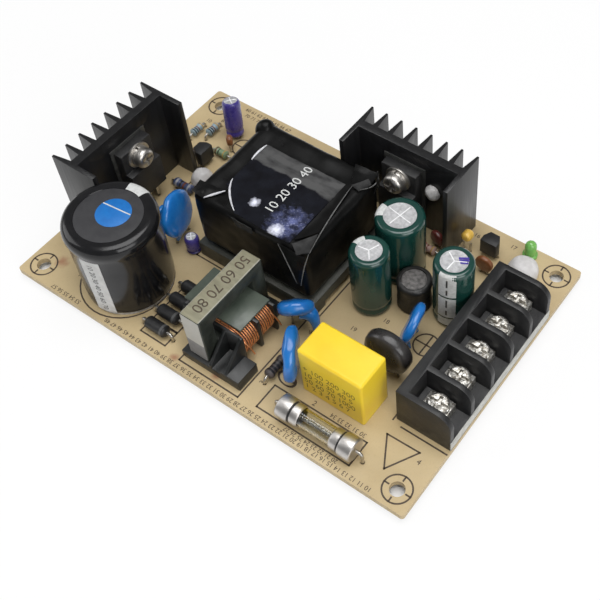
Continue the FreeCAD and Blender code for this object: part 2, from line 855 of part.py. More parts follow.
tube_x = post_x + S.former_wall * 2 + S.seat_gap * 2
tube_z = post_z + S.former_wall * 2 + S.seat_gap * 2
tube_lift = post_lift - S.former_wall - S.seat_gap
tube_y = window_y - S.seat_gap * 2
winding_x = tube_x + S.former_winding_wall * 2
winding_top = S.former_height - tape - S.film_thick
winding_lift = S.former_base_height + S.seat_gap
winding_y = tube_y - S.former_wall * 2
winding_z = winding_top - winding_lift
base_x = S.former_length + S.former_base_rim * 2
base_y = S.former_depth + S.former_base_rim * 2
base_z = S.former_base_height - S.former_rail_height
base_plate = former_box("base_plate", (base_x, base_y, base_z), S.former_rail_height)
rail_shift = base_y / 2 - S.former_rail_width / 2
rails = [
    former_box(
        f"rail_{k}",
        (base_x, S.former_rail_width, S.former_rail_height),
        0,
        (0, rail_shift * sign),
    )
    for k, sign in enumerate((-1, 1))
]
flange_shift = tube_y / 2 - S.former_wall / 2
flange_lift = winding_lift - S.seat_gap
flange_tall = (winding_x, S.former_wall, winding_z + S.seat_gap)
flanges = [
    former_box(f"flange_{k}", flange_tall, flange_lift, (0, flange_shift * sign))
    for k, sign in enumerate((-1, 1))
]
tube = former_box("tube", (tube_x, tube_y, tube_z), tube_lift)
hollow_size = (post_x + S.seat_gap * 2, tube_y, post_z + S.seat_gap * 2)
hollow = former_box("tube_hollow", hollow_size, post_lift - S.seat_gap)
former = cut("former", fuse("former_whole", [base_plate, *rails, *flanges, tube]), [hollow])
node("transformer_bobbin", former)
coil = former_box("coil", (winding_x, winding_y, winding_z), winding_lift)
coil_hole = former_box("coil_hole", (tube_x, winding_y, tube_z), tube_lift)
node("transformer_winding", cut("former_coil", coil, [coil_hole]))

wrap = doc.addObject("PartDesign::Body", "tape_wrap")
half_x = S.former_length / 2
half_y = S.former_depth / 2
corners = [(-half_x, -half_y), (half_x, -half_y), (half_x, half_y), (-half_x, half_y)]
wrap_tall = S.former_height - S.tape_lift
shell = pad(wrap, outline(wrap, "XY_Plane", corners), wrap_tall)
wrap.Tip = round_edges(wrap, shell, S.tape_corner_radius, upright_edge)
place(wrap, S.former_x, S.former_y, TOP + S.tape_lift)
fold = S.tape_fold_width * 2
opening_size = (S.former_length - fold, S.former_depth - fold, wrap_tall)
tape_cuts = [
    former_box("tape_room", (inside_x, inside_y, wrap_tall - tape), S.tape_lift),
    former_box("tape_opening", opening_size, S.tape_lift),
]
node("transformer_tape", cut("tape_shell", wrap, tape_cuts))
film_size = (S.former_label_length, S.former_label_depth, S.film_thick)
film = former_box("film", film_size, winding_top)
node("transformer_label", film)
former_pins = []
row_middle = (TRANSFORMER_PINS_PER_ROW - 1) / 2
for sign in (-1, 1):
    for k in range(TRANSFORMER_PINS_PER_ROW):
        x = S.former_x + S.former_pin_pitch * (k - row_middle)
        y = S.former_y + rail_shift * sign
        name = f"former_pin_{sign + 1}_{k}"
        former_pins.append(pin(name, x, y, S.former_pin_radius, TOP))
node("transformer_pins", former_pins)


# Line choke: a core frame standing on its bottom bar, which carries two windings.
def choke_box(name, size, shift_x, middle_y, low):
    """A block about the choke's middle line; size is (x, y, z), low is above the board."""
    x = S.choke_x + shift_x - dim(size[0]) / 2
    return box(name, size, (x, dim(middle_y) - dim(size[1]) / 2, TOP + low))


bar = S.choke_core_bar
gap = S.seat_gap
wall = S.choke_tube_wall
bar_middle = S.choke_core_lift + bar / 2
core_frame = doc.addObject("PartDesign::Body", "choke_frame")
half_l = S.choke_core_length / 2
corners = [(-half_l, 0), (half_l, 0), (half_l, S.choke_core_height)]
corners.append((-half_l, S.choke_core_height))
frame_pad = pad(core_frame, outline(core_frame, "YZ_Plane", corners), S.choke_core_width, "Pad", True)
core_frame.Tip = round_edges(core_frame, frame_pad, S.choke_core_round, lambda e: True)
place(core_frame, S.choke_x, S.choke_y, TOP + S.choke_core_lift)
window_size = (S.choke_core_width, S.choke_core_length - bar * 2, S.choke_core_height - bar * 2)
window = choke_box("choke_window", window_size, 0, S.choke_y, S.choke_core_lift + bar)
node("choke_core", cut("choke_core_cut", core_frame, [window]))

coil_y = S.choke_y + S.choke_coil_shift
coil_pitch = S.choke_coil_length + S.choke_divider_thick
end_shift = S.choke_coil_length + S.choke_divider_thick / 2 + S.choke_flange_thick / 2
flange_x = S.choke_coil_width + S.choke_flange_margin * 2
flange_z = bar_middle + S.choke_coil_height / 2 + S.choke_flange_rise
flange_front = coil_y - end_shift - S.choke_flange_thick / 2
flange_back = coil_y + end_shift + S.choke_flange_thick / 2
foot_front = S.choke_y - half_l - S.choke_foot_overhang
foot_back = S.choke_y + half_l + S.choke_foot_overhang
foot_z = S.choke_foot_height
front_y = flange_front - foot_front
front_middle = (flange_front + foot_front) / 2
back_y = foot_back - flange_back
back_middle = (foot_back + flange_back) / 2
block_shift = S.choke_foot_shift + S.choke_foot_length / 2 - S.choke_block_length / 2
tube_wide = S.choke_core_width + (gap + wall) * 2
tube_high = bar + (gap + wall) * 2
tube_long = flange_back - flange_front
tube_low = S.choke_core_lift - gap - wall
end_size = (flange_x, S.choke_flange_thick, flange_z)
bobbin_parts = [
    choke_box("choke_flange_front", end_size, 0, coil_y - end_shift, 0),
    choke_box("choke_flange_back", end_size, 0, coil_y + end_shift, 0),
    choke_box("choke_divider", (flange_x, S.choke_divider_thick, flange_z), 0, coil_y, 0),
    choke_box("choke_tube", (tube_wide, tube_long, tube_high), 0, coil_y, tube_low),
    choke_box(
        "choke_front_foot",
        (S.choke_foot_length, front_y, foot_z),
        S.choke_foot_shift,
        front_middle,
        0,
    ),
    choke_box(
        "choke_front_block",
        (S.choke_block_length, front_y, S.choke_block_height),
        block_shift,
        front_middle,
        0,
    ),
    choke_box(
        "choke_back_foot",
        (S.choke_back_foot_length, back_y, foot_z),
        S.choke_back_foot_shift,
        back_middle,
        0,
    ),
]
rib_outline = [(flange_front, foot_z), (foot_front, foot_z), (foot_front, S.choke_block_height)]
rib_outline += [(flange_front, flange_z)]
rib_spots = (
    S.choke_core_width / 2 + S.choke_rib_gap,
    flange_x / 2 - S.choke_rib_thick,
)
for k, rib_x in enumerate(rib_spots):
    rib = doc.addObject("PartDesign::Body", f"choke_rib_{k}")
    rib.Tip = pad(rib, outline(rib, "YZ_Plane", rib_outline), S.choke_rib_thick)
    bobbin_parts.append(place(rib, S.choke_x + rib_x, 0, TOP))
bar_room_size = (S.choke_core_width + gap * 2, tube_long, bar + gap * 2)
bar_room = choke_box("choke_bar_room", bar_room_size, 0, coil_y, S.choke_core_lift - gap)
node("choke_bobbin", cut("choke_bobbin_cut", fuse("choke_bobbin_whole", bobbin_parts), [bar_room]))


def choke_coil(name, middle_y):
    """A flat sided winding with a ridge for each turn of wire."""
    outer = S.choke_coil_height / 2
    groove = outer - S.choke_wire_relief
    start = -S.choke_coil_length / 2
    turn = S.choke_coil_length / CHOKE_TURNS
    ridges = [(groove, start)]
    for k in range(CHOKE_TURNS):
        ridges.append((outer, start + turn * (k + 0.5)))
        ridges.append((groove, start + turn * (k + 1)))
    end_spot = S.choke_coil_width / 2 - outer
    level = TOP + bar_middle
    slab = doc.addObject("PartDesign::Body", name + "_slab")
    section = [(along, r) for r, along in ridges] + [(along, -r) for r, along in reversed(ridges)]
    straight = pad(slab, outline(slab, "YZ_Plane", section), end_spot * 2, "Pad", True)
    slab.Tip = straight
    place(slab, S.choke_x, middle_y, level)
    pieces = [slab]
    for sign in (-1, 1):
        half_profile = [(0, start), *ridges, (0, -start)]
        side = turned(f"{name}_end_{sign + 1}", half_profile, angle=180)
        aim = FreeCAD.Rotation(V(0, 0, sign), V(sign, 0, 0), V(0, 1, 0), "ZYX")
        pieces.append(place(side, S.choke_x + end_spot * sign, middle_y, level, aim))
    hole_size = (tube_wide, S.choke_coil_length, tube_high)
    hole = choke_box(name + "_hole", hole_size, 0, middle_y, tube_low)
    return cut(name, fuse(name + "_whole", pieces), [hole])


coils = [choke_coil(f"choke_coil_{k}", coil_y + coil_pitch * (k - 0.5)) for k in (0, 1)]
node("choke_windings", coils)
plate_size = (S.choke_plate_length, S.choke_plate_depth, S.choke_plate_thick)
plate_middle = flange_back - S.choke_plate_depth / 2
cover = choke_box("choke_plate_box", plate_size, S.choke_plate_shift, plate_middle, flange_z)
node("choke_plate", cover)
choke_pins = []
feet = (
    (S.choke_foot_shift, S.choke_foot_length, foot_front, 1),
    (S.choke_back_foot_shift, S.choke_back_foot_length, foot_back, -1),
)
for shift, length, edge_y, inward in feet:
    for sign in (-1, 1):
        x = S.choke_x + shift + (length / 2 - S.choke_pin_inset) * sign
        y = edge_y + S.choke_pin_inset * inward
        name = f"choke_pin_{inward + 1}_{sign + 1}"
        choke_pins.append(pin(name, x, y, S.choke_pin_radius, TOP))
node("choke_pins", choke_pins)


# Film capacitor: a block with soft edges on two leads.
film_block = doc.addObject("PartDesign::Body", "film_block")
half_x = S.film_cap_length / 2
half_y = S.film_cap_depth / 2
corners = [(-half_x, -half_y), (half_x, -half_y), (half_x, half_y), (-half_x, half_y)]
block_pad = pad(film_block, outline(film_block, "XY_Plane", corners), S.film_cap_height)


def above_the_foot(edge):
    """True for an edge that isn't on the underside."""
    return max(v.Z for v in edge.Vertexes) > 0


film_block.Tip = round_edges(film_block, block_pad, S.film_cap_round, above_the_foot)
node("film_capacitor", place(film_block, S.film_cap_x, S.film_cap_y, TOP))
radial_leads = []
for sign in (-1, 1):
    x = S.film_cap_x + S.film_cap_pitch / 2 * sign
    radial_leads.append(pin(f"film_pin_{sign + 1}", x, S.film_cap_y, S.lead_radius, TOP))


# Fuse: glass tube, a cap and an outer end cap on each end, the element, two bent leads.
fuse_level = TOP + S.fuse_lift
fuse_half = S.fuse_length / 2
cap_wall = S.fuse_cap_wall
inner_cap_end = fuse_half - cap_wall - gap
glass_end = inner_cap_end - cap_wall - gap


def end_cap(name, radius, length, end, sign):
    """A cup over one end of the fuse, its closed face at a distance from the middle."""
    inside = radius - cap_wall
    mouth = end - length
    floor = end - cap_wall
    points = [(0, floor), (inside, floor), (inside, mouth), (radius, mouth), (radius, end), (0, end)]
    cup = turned(name, points, [((4,), cap_wall * CAP_ROUND)])
    aim = FreeCAD.Rotation(V(0, 1, 0), 90 * sign)
    return place(cup, S.fuse_x, S.fuse_y, fuse_level, aim)


tube_spot = (S.fuse_x - glass_end, S.fuse_y, fuse_level)
bore_radius = S.fuse_glass_radius - S.fuse_glass_wall
glass = rod("fuse_tube", S.fuse_glass_radius, glass_end * 2, tube_spot, ALONG_X)
glass_bore = rod("fuse_bore", bore_radius, glass_end * 2, tube_spot, ALONG_X)
node("fuse_glass", cut("fuse_glass_cut", glass, [glass_bore]))
element_half = inner_cap_end - cap_wall
element_spot = (S.fuse_x - element_half, S.fuse_y, fuse_level)
node("fuse_element", rod("fuse_wire", S.fuse_element_radius, element_half * 2, element_spot, ALONG_X))
inner_caps = []
outer_caps = []
fuse_leads = []
for sign in (-1, 1):
    side = sign + 1
    cap_length = S.fuse_cap_length
    inner_caps.append(
        end_cap(f"fuse_cap_{side}", S.fuse_cap_radius, cap_length, inner_cap_end, sign)
    )
    outer_length = S.fuse_outer_cap_length
    outer_caps.append(
        end_cap(f"fuse_end_{side}", S.fuse_outer_cap_radius, outer_length, fuse_half, sign)
    )
    end_x = S.fuse_x + fuse_half * sign
    foot = (end_x + S.fuse_lead_reach * sign, S.fuse_y)
    lead = bent_lead(f"fuse_lead_{side}", S.lead_radius, (end_x, S.fuse_y), foot, fuse_level)
    fuse_leads.append(lead)
node("fuse_inner_caps", inner_caps)
node("fuse_end_caps", outer_caps)
node("fuse_leads", fuse_leads)


# Round flat parts: each stands or leans on two leads that run up into its edge.
def disc_on_leads(name, spot, radius, thick, normal, feet):
    """A coin shaped part and its leads; each foot is (dx, dy, lead end) from its middle."""
    x, y, lift = spot
    aim = FreeCAD.Rotation(V(0, 0, 1), V(*normal))
    disc = coin(name, radius, thick, (x, y, TOP + lift), aim)
    for k, (dx, dy, rise) in enumerate(feet):
        wire = pin(f"{name}_wire_{k}", x + dx, y + dy, S.thin_lead_radius, TOP + lift + rise)
        radial_leads.append(cut(f"{name}_lead_{k}", wire, [disc]))
    return disc


def level_feet(normal, pitch, back=0, drop=0):
    """Two feet under a disc, half a pitch each way along it."""
    nx, ny, _ = normal
    size = math.hypot(nx, ny)
    along = (ny / size, -nx / size)
    middle = (nx / size * back, ny / size * back)
    half_pitch = pitch / 2
    return [
        (half_pitch * (along[0] * s) + middle[0], half_pitch * (along[1] * s) + middle[1], drop)
        for s in (-1, 1)
    ]


DISC_A_NORMAL = (-0.478, 0.616, 0.6245)
DISC_B_NORMAL = (0.834, 0.548, -0.06)
DISC_C_NORMAL = (0.926, 0.225, -0.312)
DISC_D_NORMAL = (0.979, 0.097, 0.156)
DISC_A_FEET = [(3.2, 0.4, 2.0), (-2.0, 0.2, -1.7)]
disc_a_y = S.former_y - S.former_depth / 2 - S.disc_a_clearance
discs = [
    disc_on_leads(
        "disc_a",
        (S.disc_a_x, disc_a_y, S.disc_a_lift),
        S.disc_a_radius,
        S.disc_a_thick,
        DISC_A_NORMAL,
        DISC_A_FEET,
    ),
    disc_on_leads(
        "disc_b",
        (S.disc_b_x, S.disc_b_y, S.disc_b_lift),
        S.disc_b_radius,
        S.disc_b_thick,
        DISC_B_NORMAL,
        level_feet(DISC_B_NORMAL, S.disc_lead_pitch),
    ),
    disc_on_leads(
        "disc_c",
        (S.disc_c_x, S.disc_c_y, S.disc_c_lift),
        S.disc_c_radius,
        S.disc_c_thick,
        DISC_C_NORMAL,
        level_feet(DISC_C_NORMAL, S.disc_lead_pitch, S.disc_c_radius * -0.23, S.disc_c_radius * -0.7),
    ),
    disc_on_leads(
        "disc_d",
        (S.disc_d_x, S.disc_d_y, S.disc_d_lift),
        S.disc_d_radius,
        S.disc_d_thick,
        DISC_D_NORMAL,
        level_feet(DISC_D_NORMAL, S.disc_lead_pitch),
    ),
]
node("disc_capacitors", discs)
thermistor_normal = (0, 1, 0)
node(
    "thermistor",
    disc_on_leads(
        "thermistor_disc",
        (S.thermistor_x, S.thermistor_y, S.thermistor_lift),
        S.thermistor_radius,
        S.thermistor_thick,
        thermistor_normal,
        level_feet(thermistor_normal, S.thermistor_pitch),
    ),
)


# Output capacitors: three cans in shrink sleeves, two leads each.
output_cans = []
output_sleeves = []
outputs = {
    "a": (S.output_a_x, S.output_a_y, S.output_a_radius),
    "b": (S.output_b_x, S.output_b_y, S.output_b_radius),
    "c": (S.output_c_x, S.output_c_y, S.output_c_radius),
}
for key, (x, y, radius) in outputs.items():
    name = "output_" + key
    can, sleeve = can_and_sleeve(
        name, radius, S.output_height, S.output_sleeve_wall, S.output_rim_width
    )
    output_cans.append(place(can, x, y, TOP))
    output_sleeves.append(place(sleeve, x, y, TOP))
    for sign in (-1, 1):
        lead_y = y + S.output_lead_pitch / 2 * sign
        radial_leads.append(pin(f"{name}_pin_{sign + 1}", x, lead_y, S.thin_lead_radius, TOP))
node("output_capacitor_cans", output_cans)
node("output_capacitor_sleeves", output_sleeves)


# Drum inductor: a spool shaped core in a sleeve with a lip over its top.
drum_r = S.drum_radius
drum_top = S.drum_height - S.drum_flange_thick
drum_points = [(0, 0), (drum_r, 0), (drum_r, S.drum_flange_thick)]
drum_points += [(S.drum_waist_radius, S.drum_flange_thick), (S.drum_waist_radius, drum_top)]
drum_points += [(drum_r, drum_top), (drum_r, S.drum_height), (0, S.drum_height)]
node("drum_core", place(turned("drum", drum_points), S.drum_x, S.drum_y, TOP))
lip_in = drum_r - S.drum_sleeve_lip
tube_in = drum_r + gap
tube_out = tube_in + S.drum_sleeve_wall
lip_top = S.drum_height + S.drum_sleeve_wall
sleeve_points = [(tube_in, 0), (tube_out, 0), (tube_out, lip_top), (lip_in, lip_top)]
sleeve_points += [(lip_in, S.drum_height), (tube_in, S.drum_height)]
drum_sleeve = turned("drum_tube", sleeve_points, [((2,), S.drum_sleeve_wall * SLEEVE_ROUND)])
node("drum_sleeve", place(drum_sleeve, S.drum_x, S.drum_y, TOP))
for sign in (-1, 1):
    lead_y = S.drum_y + S.output_lead_pitch / 2 * sign
    radial_leads.append(pin(f"drum_pin_{sign + 1}", S.drum_x, lead_y, S.thin_lead_radius, TOP))


# Terminal block: housing with open compartments, wire plates, screws, pins and a strip.
block_length = S.block_pitch * POLE_COUNT + S.block_wall
block_low_y = S.block_middle_y - block_length / 2
block_front_x = S.block_back_x + S.block_depth
face_x = block_front_x - S.block_front_skin
back_x = S.block_back_x
seat_end_x = face_x - S.block_floor_depth
room_y = S.block_pitch - S.block_wall
screw_x = block_front_x - S.block_screw_setback
shell = doc.addObject("PartDesign::Body", "block_shell")
depth = face_x - back_x
corners = [(0, 0), (depth, 0), (depth, S.block_height), (0, S.block_height)]
shell_pad = pad(shell, outline(shell, "XZ_Plane", corners), block_length, "Pad", True)


def front_top_edge(edge):
    """True for the long edge where the front meets the top."""
    ends = [v.Point for v in edge.Vertexes]
    high = min(p.z for p in ends) > S.block_height.value - 1e-6
    return high and min(p.x for p in ends) > depth.value - 1e-6


shell.Tip = round_edges(shell, shell_pad, S.block_corner_round, front_top_edge)
place(shell, back_x, S.block_middle_y, TOP)
plate_x = S.block_plate_length - S.block_lip_thick
plate_y = room_y - S.block_plate_margin * 2
plate_level = TOP + S.block_seat_height
head_level = plate_level + S.block_plate_thick
screw_bore = S.block_screw_radius / 2 + gap
rooms = []
plates = []
screws = []
terminal_pins = []
for k in range(POLE_COUNT):
    middle_y = S.block_middle_y + S.block_pitch * (k - (POLE_COUNT - 1) / 2)
    low_y = middle_y - room_y / 2
    room_x = back_x + S.block_back_wall
    upper_size = (face_x - room_x, room_y, S.block_height - S.block_seat_height)
    rooms.append(box(f"room_{k}", upper_size, (room_x, low_y, plate_level)))
    floor_z = TOP + S.block_floor_height
    lower_size = (S.block_floor_depth, room_y, S.block_height - S.block_floor_height)
    rooms.append(box(f"entry_{k}", lower_size, (seat_end_x, low_y, floor_z)))
    bore_depth = S.block_well_depth
    well = rod(f"well_{k}", screw_bore, bore_depth, (screw_x, middle_y, plate_level - bore_depth))
    rooms.append(well)
    plate_low_y = middle_y - plate_y / 2
    flat_size = (plate_x, plate_y, S.block_plate_thick)
    flat = box(f"plate_flat_{k}", flat_size, (seat_end_x - plate_x, plate_low_y, plate_level))
    lip_low = floor_z + gap
    lip_size = (S.block_lip_thick, plate_y, head_level - lip_low)
    lip = box(f"plate_lip_{k}", lip_size, (seat_end_x, plate_low_y, lip_low))
    hole = rod(f"plate_hole_{k}", screw_bore, S.block_plate_thick, (screw_x, middle_y, plate_level))
    plates.append(cut(f"plate_{k}", fuse(f"plate_whole_{k}", [flat, lip]), [hole]))
    shank_radius = S.block_screw_radius / 2
    shank_end = -S.block_screw_depth - S.block_plate_thick
    points = [
        (0, shank_end),
        (shank_radius, shank_end),
        (shank_radius, 0),
        (S.block_screw_radius, 0),
        (S.block_screw_radius, S.block_screw_height),
        (0, S.block_screw_height),
    ]
    head = turned(f"block_screw_{k}", points, [((4,), S.block_screw_round)])
    place(head, screw_x, middle_y, head_level)
    slot_level = head_level + S.block_screw_height - S.block_screw_slot_depth
    slot_long = S.block_screw_radius * 2
    slot_wide = S.block_screw_slot_width
    cross = S.block_screw_cross_length
    slots = []
    for way, (sx, sy) in enumerate(((slot_long, slot_wide), (slot_wide, cross))):
        corner = (screw_x - sx / 2, middle_y - sy / 2, slot_level)
        slots.append(box(f"slot_{k}_{way}", (sx, sy, S.block_screw_height), corner))
    screws.append(cut(f"screw_{k}", head, slots))
    terminal_pins.append(pin(f"block_pin_{k}", screw_x, middle_y, S.block_pin_radius, TOP))
node("terminal_housing", cut("housing", shell, rooms))
node("terminal_plates", plates)
node("terminal_screws", screws)
node("terminal_pins", terminal_pins)
strip_size = (S.block_front_skin, block_length, S.block_label_height)
strip_spot = (face_x, block_low_y, TOP + S.block_label_lift)
node("terminal_label", box("block_strip", strip_size, strip_spot))


# Small parts lying on the board, each with two leads bent down at its ends.
small_leads = []


def axial_part(name, x, y, radius, length, lift, reach, wire, along_x):
    """A round body on its side and its bent leads."""
    level = TOP + lift + radius
    half_way = dim(length) / 2
    if along_x:
        body = rod(name, radius, length, (x - half_way, y, level), ALONG_X)
    else:
        body = rod(name, radius, length, (x, y - half_way, level), ALONG_Y)
    leads = []
    for sign in (-1, 1):
        body_end = (x + half_way * sign, y) if along_x else (x, y + half_way * sign)
        out = (half_way + reach) * sign
        foot = (x + out, y) if along_x else (x, y + out)
        leads.append(bent_lead(f"{name}_lead_{sign + 1}", wire, body_end, foot, level))
    return body, leads


diodes = []
diode_leads = []
for k in range(DIODE_COUNT):
    diode, leads = axial_part(
        f"diode_{k}",
        S.diode_x,
        S.diode_row_y + S.diode_row_pitch * k,
        S.diode_radius,
        S.diode_length,
        S.diode_lift,
        S.diode_reach,
        S.lead_radius,
        True,
    )
    diodes.append(diode)
    diode_leads += leads
node("rectifier_diodes", diodes)
node("rectifier_diode_leads", diode_leads)

# Place of each resistor: middle x, middle y, whether it is a large one, along X or not.
RESISTOR_SPOTS = [
    (-52.6, 22.4, False, False),
    (-49.0, 24.8, False, False),
    (-47.4, 16.6, False, False),
    (-41.1, 19.3, False, True),
    (-41.4, 4.5, True, True),
    (14.3, -25.6, True, False),
    (24.2, 23.0, False, True),
]
resistors = []
resistor_leads = []
for k, (x, y, large, along_x) in enumerate(RESISTOR_SPOTS):
    body, leads = axial_part(
        f"resistor_{k}",
        dim(x),
        dim(y),
        S.large_resistor_radius if large else S.resistor_radius,
        S.large_resistor_length if large else S.resistor_length,
        S.resistor_lift,
        S.resistor_reach,
        S.thin_lead_radius,
        along_x,
    )
    resistors.append(body)
    resistor_leads += leads
node("resistors", resistors)
node("resistor_leads", resistor_leads)


# Two small capacitors in violet sleeves; the taller one leans on its leads.
def violet_capacitor(name, x, y, radius, height, lift, lean):
    """Can, sleeve and leads; the leads end inside the can's footprint and are cut by it."""
    can, sleeve = can_and_sleeve(
        name, radius, height, S.violet_sleeve_wall, S.violet_rim_width
    )
    tilt = FreeCAD.Rotation(V(0, 0, 1), S.violet_cap_lean_way.value).multiply(
        FreeCAD.Rotation(V(1, 0, 0), -lean)
    )
    low = TOP + lift
    place(can, x, y, low, tilt)
    place(sleeve, x, y, low, tilt)
    for sign in (-1, 1):
        lead_x = x + S.small_lead_pitch / 2 * sign
        wire = pin(f"{name}_wire_{sign + 1}", lead_x, y, S.thin_lead_radius, low + radius / 2)
        small_leads.append(cut(f"{name}_lead_{sign + 1}", wire, [can]))
    return can, sleeve


tall_can, tall_sleeve = violet_capacitor(
    "violet",
    S.violet_cap_x,
    S.violet_cap_y,
    S.violet_cap_radius,
    S.violet_cap_height,
    S.violet_cap_lift,
    S.violet_cap_lean.value,
)
short_can, short_sleeve = violet_capacitor(
    "short_violet", S.small_cap_x, S.small_cap_y, S.small_cap_radius, S.small_cap_height, dim(0), 0
)
node("violet_capacitor_cans", [tall_can, short_can])
node("violet_capacitor_sleeves", [tall_sleeve, short_sleeve])

# Small dipped parts: middle x, middle y, radius share, thickness share, direction it faces.
CERAMIC_SPOTS = [
    (38.9, 25.4, 1.0, 1.0, (0, 1, 0)),
    (25.4, 26.0, 0.9, 1.0, (0.25, 1, 0)),
    (-40.9, 22.9, 0.65, 1.0, (0.7, 0.7, 0)),
    (-38.3, -6.8, 1.0, 1.0, (1, 0.1, 0)),
]
ceramics = []
for k, (x, y, size, share, normal) in enumerate(CERAMIC_SPOTS):
    radius = S.small_disc_radius * size
    aim = FreeCAD.Rotation(V(0, 0, 1), V(*normal))
    level = TOP + S.small_disc_lift
    bead = coin(f"ceramic_{k}", radius, S.small_disc_thick * share, (dim(x), dim(y), level), aim)
    ceramics.append(bead)
    for step, (dx, dy, _) in enumerate(level_feet(normal, S.small_lead_pitch)):
        wire = pin(f"ceramic_wire_{k}_{step}", x + dx, y + dy, S.thin_lead_radius, level)
        small_leads.append(cut(f"ceramic_lead_{k}_{step}", wire, [bead]))
bead = bind(doc.addObject("Part::Sphere", "yellow_bead"), Radius=S.bead_radius)
place(bead, S.bead_x, S.bead_y, TOP + S.bead_lift)
ceramics.append(bead)
for sign in (-1, 1):
    lead_x = S.bead_x + S.small_lead_pitch / 2 * sign
    wire = pin(f"bead_wire_{sign + 1}", lead_x, S.bead_y, S.thin_lead_radius, TOP + S.bead_lift)
    small_leads.append(cut(f"bead_lead_{sign + 1}", wire, [bead]))
node("small_ceramic_parts", ceramics)

# Small moulded parts on three leads, a flat front and a half round back.
MOULDED_SPOTS = [(37.3, 31.3, 0), (-43.6, 15.0, 90)]
moulded = []
for k, (x, y, turn) in enumerate(MOULDED_SPOTS):
    body = doc.addObject("PartDesign::Body", f"moulded_{k}")
    half_w = S.moulded_width / 2
    nose = S.moulded_depth / 2
    bevel = S.moulded_nose_width / 2
    corners = [(-half_w, -nose), (half_w, -nose), (half_w, 0)]
    corners += [(bevel, nose), (-bevel, nose), (-half_w, 0)]
    body.Tip = pad(body, outline(body, "XY_Plane", corners), S.moulded_height)
    spin = FreeCAD.Rotation(V(0, 0, 1), turn)
    moulded.append(place(body, dim(x), dim(y), TOP + S.moulded_lift, spin))
    for step in (-1, 0, 1):
        way = spin.multVec(V(step, 0, 0))
        lead_x = x + S.moulded_pitch * way.x
        lead_y = y + S.moulded_pitch * way.y
        name = f"moulded_lead_{k}_{step + 1}"
        low = TOP + S.moulded_lift
        small_leads.append(pin(name, lead_x, lead_y, S.thin_lead_radius, low))
node("moulded_transistors", moulded)
node("small_part_leads", small_leads)

# Indicator lamp: a flanged dome on two leads.
lamp_points = [(0, 0), (S.lamp_flange_radius, 0), (S.lamp_flange_radius, S.lamp_flange_thick)]
lamp_points += [(S.lamp_radius, S.lamp_flange_thick), (S.lamp_radius, S.lamp_height)]
lamp_points.append((0, S.lamp_height))
lamp = turned("lamp_body", lamp_points, [((4,), S.lamp_dome_round)])
node("lamp", place(lamp, S.lamp_x, S.lamp_y, TOP))
for sign in (-1, 1):
    lead_x = S.lamp_x + S.lamp_lead_pitch / 2 * sign
    radial_leads.append(pin(f"lamp_pin_{sign + 1}", lead_x, S.lamp_y, S.thin_lead_radius, TOP))
node("radial_leads", radial_leads)


# Silicone beads: half ellipsoids on the board and on a heatsink plate.
def silicone_bead(name, radius, height, spot, rotation=UPRIGHT):
    """Half an ellipsoid standing on its flat side."""
    obj = doc.addObject("Part::Ellipsoid", name)
    bind(obj, Radius1=height, Radius2=radius, Radius3=radius)
    obj.Angle1 = 0
    return place(obj, *spot, rotation)


blob_a_spot = (S.blob_a_x, S.blob_a_y, TOP)
blob_b_spot = (S.blob_b_x, S.blob_b_y, TOP)
blob_c_spot = (S.blob_c_x, SECONDARY_PLATE_Y, TOP + S.blob_c_lift)
beads = [
    silicone_bead("bead_a", S.blob_a_radius, S.blob_a_height, blob_a_spot),
    silicone_bead("bead_b", S.blob_b_radius, S.blob_b_height, blob_b_spot),
    silicone_bead("bead_c", S.blob_c_radius, S.blob_c_height, blob_c_spot, TOWARDS_FRONT),
]
node("silicone_beads", beads)


# Circuit board: a plate with four mounting holes and a hole for every lead.
board = doc.addObject("PartDesign::Body", "board")
half_x = S.board_length / 2
half_y = S.board_depth / 2
corners = [(-half_x, -half_y), (half_x, -half_y), (half_x, half_y), (-half_x, half_y)]
board_pad = pad(board, outline(board, "XY_Plane", corners), S.board_thick)
rounded = round_edges(board, board_pad, S.board_corner_radius, upright_edge)
mount_x = S.mount_span_long / 2
mount_y = S.mount_span_short / 2
holes = [(mount_x * i, mount_y * j, S.mount_hole_radius) for i in (-1, 1) for j in (-1, 1)]
holes += [(x, y, radius + S.lead_hole_gap) for x, y, radius in pins]
drilled = board.newObject("PartDesign::Pocket", "Holes")
drilled.Profile = circles(board, "XY_Plane", holes)
drilled.Type = "ThroughAll"
drilled.Midplane = True
board.Tip = drilled
node("circuit_board", place(board, 0, 0, UNDER))

# Solder joints: a cone under every lead.
joints = []
for k, (x, y, radius) in enumerate(pins):
    cone = doc.addObject("Part::Cone", f"joint_{k}")
    bind(cone, Radius1=radius * S.solder_tip, Radius2=radius + S.solder_flare, Height=UNDER)
    joints.append(place(cone, x, y, 0))
node("solder_joints", joints)

doc.recompute()
for obj in doc.Objects:
    if "Invalid" in obj.State or "Error" in obj.State:
        raise RuntimeError(f"{obj.Label}: {obj.State}")
for label, obj in nodes.items():
    if obj.Shape.isNull() or not obj.Shape.isValid():
        raise RuntimeError(f"{label}: the shape isn't sound")
os.makedirs("parts", exist_ok=True)
for label, obj in nodes.items():
    obj.Shape.exportStep(f"parts/{label}.step")
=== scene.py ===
import json
import logging
import math
from collections.abc import Mapping, Sequence
from dataclasses import dataclass
from enum import Enum

import bmesh
import bpy
from mathutils import Matrix, Vector, noise
from mathutils.bvhtree import BVHTree


